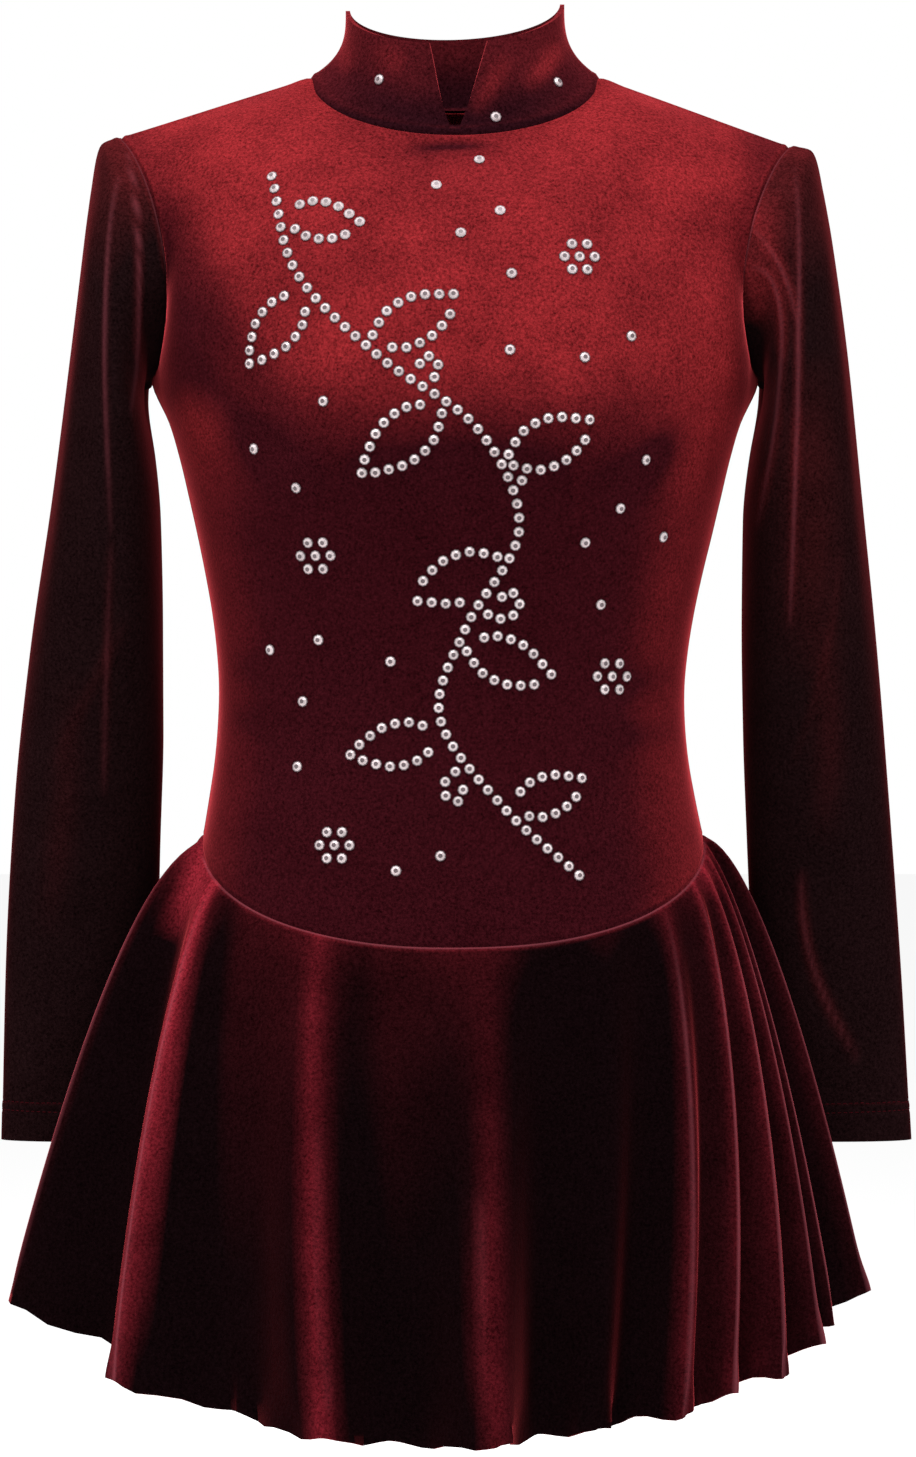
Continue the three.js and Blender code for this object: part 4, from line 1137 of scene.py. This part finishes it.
front_brief, back_brief = brief_rows(FRONT), brief_rows(BACK)
brief_front, _ = sewn_piece("brief_front", front_brief, no_light(front_brief), BRIEF, {})
brief_back, _ = sewn_piece("brief_back", back_brief, no_light(back_brief), BRIEF, {})


# ---- Stones and stitches ----
SPAN_STEPS = 24  # points along a curve from one given point to the next
RAY_START, RAY_REACH = 12, 0.03  # millimetres outside a cuff, and the most metres that a ray from there goes


def surface_of(piece):
    return BVHTree.FromObject(piece, bpy.context.evaluated_depsgraph_get())


def along(points, pitch, closed=False):
    """Places at an even pitch along a smooth line through the points."""
    pts = np.array(points, float)
    if closed:
        pts = np.concatenate([pts[-1:], pts, pts[:2]])
    else:
        pts = np.concatenate([[2 * pts[0] - pts[1]], pts, [2 * pts[-1] - pts[-2]]])
    shares = np.linspace(0, 1, SPAN_STEPS, endpoint=False)
    fine = [smooth(*pts[k - 1 : k + 3], t) for k in range(1, len(pts) - 2) for t in shares]
    fine = np.array(fine + [pts[-2]])
    run = np.concatenate([[0], np.cumsum(np.linalg.norm(np.diff(fine, axis=0), axis=1))])
    count = max(int(round(run[-1] / pitch)), 1)
    at = np.linspace(0, run[-1], count + 1)[: count + (0 if closed else 1)]
    return np.stack([np.interp(at, run, fine[:, k]) for k in range(fine.shape[1])], axis=1)


def heading_to(angle):
    return np.array((math.cos(angle), math.sin(angle)))


# how far ahead of the root, in lengths, and how far beside it, in widths
LEAF_SIDE = [(0.1, 0.12), (0.32, 0.42), (0.6, 0.45), (0.85, 0.22)]
LEAF_SHAPE = LEAF_SIDE + [(1, 0)] + [(ahead, -beside) for ahead, beside in LEAF_SIDE[::-1]]


def leaf(root, aim, long, wide):
    """A leaf's outline, from its root back to its root."""
    aim = math.radians(aim)
    ahead, beside = heading_to(aim), np.array((-math.sin(aim), math.cos(aim)))
    return [np.array(root) + ahead * long * a + beside * wide * b for a, b in LEAF_SHAPE]


CURL = dict(steps=9, first_turn=0.35, more_turn=0.11, less_growth=0.07)


def curl(root, aim, size, turn):
    """A tendril that winds in: at each step it turns more and grows less."""
    place, heading = np.array(root, float), math.radians(aim)
    points = [place]
    for step in range(CURL["steps"]):
        heading += math.radians(turn) * (CURL["first_turn"] + CURL["more_turn"] * step)
        place = place + size * (1 - CURL["less_growth"] * step) * heading_to(heading)
        points.append(place)
    return points


STONE_PITCH = 7.4
STONE_APART = 6.2  # the least distance from one stone's middle to the next
STONE_SLOPE = -0.25  # no stone is set where the cloth faces front less than this
# a dark back wider than the stone, with a crown of facets and a small flat top, all 9-sided; the facets are painted
# pale and the top dark, as painted reflection of a clear stone
STONE = dict(sides=9, back_radius=3.0, back_tall=0.5, radius=2.5, crown=1.0, top=0.5)
STITCH = dict(radius=0.26, long=1.5, end=0.45, dip=0.2, taper=0.4, pitch=3.1)
STEM = [(-98, -58), (-84, -112), (-40, -158), (12, -196), (34, -248), (6, -300), (-8, -348), (26, -396), (66, -432)]
# how far down the stem, degrees round, length, width
LEAVES = [
    (0.06, -10, 46, 22),
    (0.15, -128, 50, 24),
    (0.25, 28, 56, 26),
    (0.36, -140, 58, 27),
    (0.46, 24, 54, 26),
    (0.57, -158, 56, 26),
    (0.68, -22, 54, 25),
    (0.78, -168, 52, 24),
    (0.89, 20, 46, 22),
]
# how far down the stem, degrees round, size, turn
CURLS = [
    (0.3, -60, 7.5, 62),
    (0.5, 160, 7.5, -60),
    (0.63, -64, 7.5, 58),
    (0.84, 168, 7, 62),
]
BLOSSOMS = [(66, -104), (-74, -262), (84, -326), (-64, -416)]
PETALS, BLOSSOM_RADIUS = 6, 8
SINGLES = dict(count=90, middle=(0, -245), reach=(112, 200), apart=24)
GOLDEN_ANGLE = 137.508
COLLAR_STONES = [(-41, -2), (22, -24), (56, -2)]


def vine():
    """The stones' places on the chest, seen from the front."""
    stem = along(STEM, STONE_PITCH)
    lines = [stem]

    def on_stem(share):
        return stem[int(share * (len(stem) - 1))]

    lines += [along(leaf(on_stem(share), aim, long, wide), STONE_PITCH) for share, aim, long, wide in LEAVES]
    lines += [along(curl(on_stem(share), aim, size, turn), STONE_PITCH) for share, aim, size, turn in CURLS]
    for centre in BLOSSOMS:
        turns = np.linspace(0, 2 * math.pi, PETALS + 1)[:-1]
        lines.append(np.array([centre] + [np.array(centre) + BLOSSOM_RADIUS * heading_to(turn) for turn in turns]))
    return np.concatenate(lines)


def scattered(taken):
    """Single stones, spread by the golden angle and kept off the vine."""
    taken, found = list(taken), []
    for k in range(SINGLES["count"]):
        out = math.sqrt((k + 0.5) / SINGLES["count"]) * heading_to(k * math.radians(GOLDEN_ANGLE))
        place = np.array(SINGLES["middle"]) + np.array(SINGLES["reach"]) * out
        if np.min(np.linalg.norm(np.array(taken + found) - place, axis=1)) > SINGLES["apart"]:
            found.append(place)
    return np.array(found)


def join_copies(name, model, frames):
    """One mesh with a copy of the model at each frame: place, and the directions of its x and z axes."""
    mesh = model.data
    points = np.array([v.co for v in mesh.vertices])
    faces = [tuple(p.vertices) for p in mesh.polygons]
    kinds = [p.material_index for p in mesh.polygons]
    all_points, all_faces = [], []
    for place, x_axis, z_axis in frames:
        z_axis = z_axis / np.linalg.norm(z_axis)
        x_axis = x_axis - z_axis * np.dot(x_axis, z_axis)
        x_axis = x_axis / np.linalg.norm(x_axis)
        turned = points @ np.array((x_axis, np.cross(z_axis, x_axis), z_axis)) + np.array(place)
        start = len(all_points) * len(points)
        all_points.append(turned)
        all_faces += [tuple(start + v for v in face) for face in faces]
    joined = bpy.data.meshes.new(name)
    joined.from_pydata(np.concatenate(all_points).tolist(), [], all_faces)
    joined.polygons.foreach_set("material_index", kinds * len(all_points))
    for material in mesh.materials:
        joined.materials.append(material)
    piece = bpy.data.objects.new(name, joined)
    bpy.context.scene.collection.objects.link(piece)
    joined.update()
    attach(piece, "root")
    return piece


def pick_faces(piece, axis, side):
    """Selects, in edit mode, the faces that look along an axis to one side."""
    bpy.ops.object.mode_set(mode="EDIT")
    bpy.ops.mesh.select_all(action="DESELECT")
    bpy.ops.object.mode_set(mode="OBJECT")
    for face in piece.data.polygons:
        face.select = face.normal[axis] * side > 0.9
    bpy.ops.object.mode_set(mode="EDIT")
    bpy.ops.mesh.select_mode(type="FACE")


def draw_out(move, scale, middle):
    """Extrudes the picked faces and narrows their ends."""
    bpy.ops.mesh.extrude_region_move(TRANSFORM_OT_translate={"value": [v * MM for v in move]})
    bpy.ops.transform.resize(value=scale, center_override=[v * MM for v in middle])


def stone_model():
    """A round flat-backed stone: a thin dark back wider than the stone, sloping facets and a small flat top."""
    back = STONE["back_tall"]
    bpy.ops.mesh.primitive_cylinder_add(
        vertices=STONE["sides"], radius=STONE["back_radius"] * MM, depth=back * MM, location=(0, 0, back / 2 * MM)
    )
    stone = bpy.context.object
    bpy.ops.object.transform_apply(location=True)
    pick_faces(stone, 2, 1)
    bpy.ops.mesh.inset(thickness=(STONE["back_radius"] - STONE["radius"]) * MM)
    draw_out((0, 0, STONE["crown"]), (STONE["top"], STONE["top"], 1), (0, 0, 0))
    bpy.ops.object.mode_set(mode="OBJECT")
    stone.data.materials.append(STONE_FACETS_PAINTED_PALE)
    stone.data.materials.append(STONE_TOP_PAINTED_DARK)
    # the sloping facets take the pale finish, the top and the back the dark one: painted reflection
    for face in stone.data.polygons:
        above = face.center.z / MM - back
        face.material_index = 0 if 0.1 < above < STONE["crown"] - 0.1 else 1
    return stone


def stitch_model():
    """A short stitch of twisted thread, lying along x, whose ends go down into the cloth."""
    long, end, dip, taper = (STITCH[size] for size in ("long", "end", "dip", "taper"))
    bpy.ops.mesh.primitive_cylinder_add(
        vertices=6, radius=STITCH["radius"] * MM, depth=long * MM, rotation=(0, math.pi / 2, 0)
    )
    stitch = bpy.context.object
    bpy.ops.object.transform_apply(rotation=True)
    for side in (-1, 1):
        pick_faces(stitch, 0, side)
        draw_out((end * side, 0, -dip), (1, taper, taper), ((long / 2 + end) * side, 0, -dip))
    bpy.ops.object.mode_set(mode="OBJECT")
    stitch.data.materials.append(THREAD)
    return stitch


def gem(name, colour, roughness, metallic):
    """A stone's finish, a little darker in places."""
    material, tree = new_material(name)
    place = add_node(tree, "TexCoord", {}).outputs["Object"]
    noise = add_node(tree, "TexNoise", {"Scale": 160, "Vector": place}).outputs["Fac"]
    ramp = add_node(tree, "ValToRGB", {"Fac": noise})
    for element, position, tone in zip(ramp.color_ramp.elements, (0.35, 0.65), (0.7, 1)):
        element.position = position
        element.color = (*[tone * c for c in colour], 1)
    finish(tree, {"Base Color": ramp.outputs["Color"], "Roughness": roughness, "Metallic": metallic})
    return material


# Painted reflection: the stone's facets pale, its top and back dark
STONE_FACETS_PAINTED_PALE = gem("stone_facets_painted_pale", (0.72, 0.62, 0.63), 0.45, 0.15)
STONE_TOP_PAINTED_DARK = gem("stone_top_painted_dark", (0.16, 0.12, 0.13), 0.5, 0.1)
THREAD = velvet("thread_red", (0.03, 0.003, 0.005), (0.09, 0.006, 0.008), 0.3, grain=0.3)


def set_on(piece, places):
    """Where each stone sits on a piece, and how it is turned: found by a ray from the front."""
    surface = surface_of(piece)
    frames = []
    for x, z in places:
        place, normal, _, _ = surface.ray_cast(Vector((x * MM, -1, z * MM)), Vector((0, 1, 0)))
        if place is None or normal.y > STONE_SLOPE:
            continue
        if all((Vector(other[0]) - place).length > STONE_APART * MM for other in frames):
            spin = RANDOM.uniform(0, math.pi)
            frames.append((np.array(place), np.array((math.cos(spin), 0, math.sin(spin))), np.array(normal)))
    return frames


stone = stone_model()
vine_places = vine()
front_frames = set_on(bodice_front, np.concatenate([vine_places, scattered(vine_places)]))
join_copies("stones", stone, front_frames + set_on(collar, COLLAR_STONES))
bpy.data.objects.remove(stone)


def cuff_stitches(name, rings, piece):
    """A stitch at each place along the cuff's rows, found by a ray from outside towards the sleeve's middle."""
    above = from_edges(rings)["bottom"]
    surface = surface_of(piece)
    centre = rings[-1].mean(axis=0)
    frames = []
    for stitch_row in CUFF["stitch_rows"]:
        nearest = np.argmin(np.abs(above - stitch_row), axis=0)
        places = along(rings[nearest, np.arange(rings.shape[1])], STITCH["pitch"], closed=True)
        for before, here, after in zip(np.roll(places, 1, 0), places, np.roll(places, -1, 0)):
            out = here - np.array((centre[0], centre[1], here[2]))
            start = Vector((here + RAY_START * out / np.linalg.norm(out)) * MM)
            place, normal, _, _ = surface.ray_cast(start, Vector(-out).normalized(), RAY_REACH)
            if place is not None:
                frames.append((np.array(place), after - before, np.array(normal)))
    join_copies(name, stitch, frames)


stitch = stitch_model()
cuff_stitches("cuff_stitches_left", left_rows, sleeve_left)
cuff_stitches("cuff_stitches_right", right_rows, sleeve_right)
bpy.data.objects.remove(stitch)
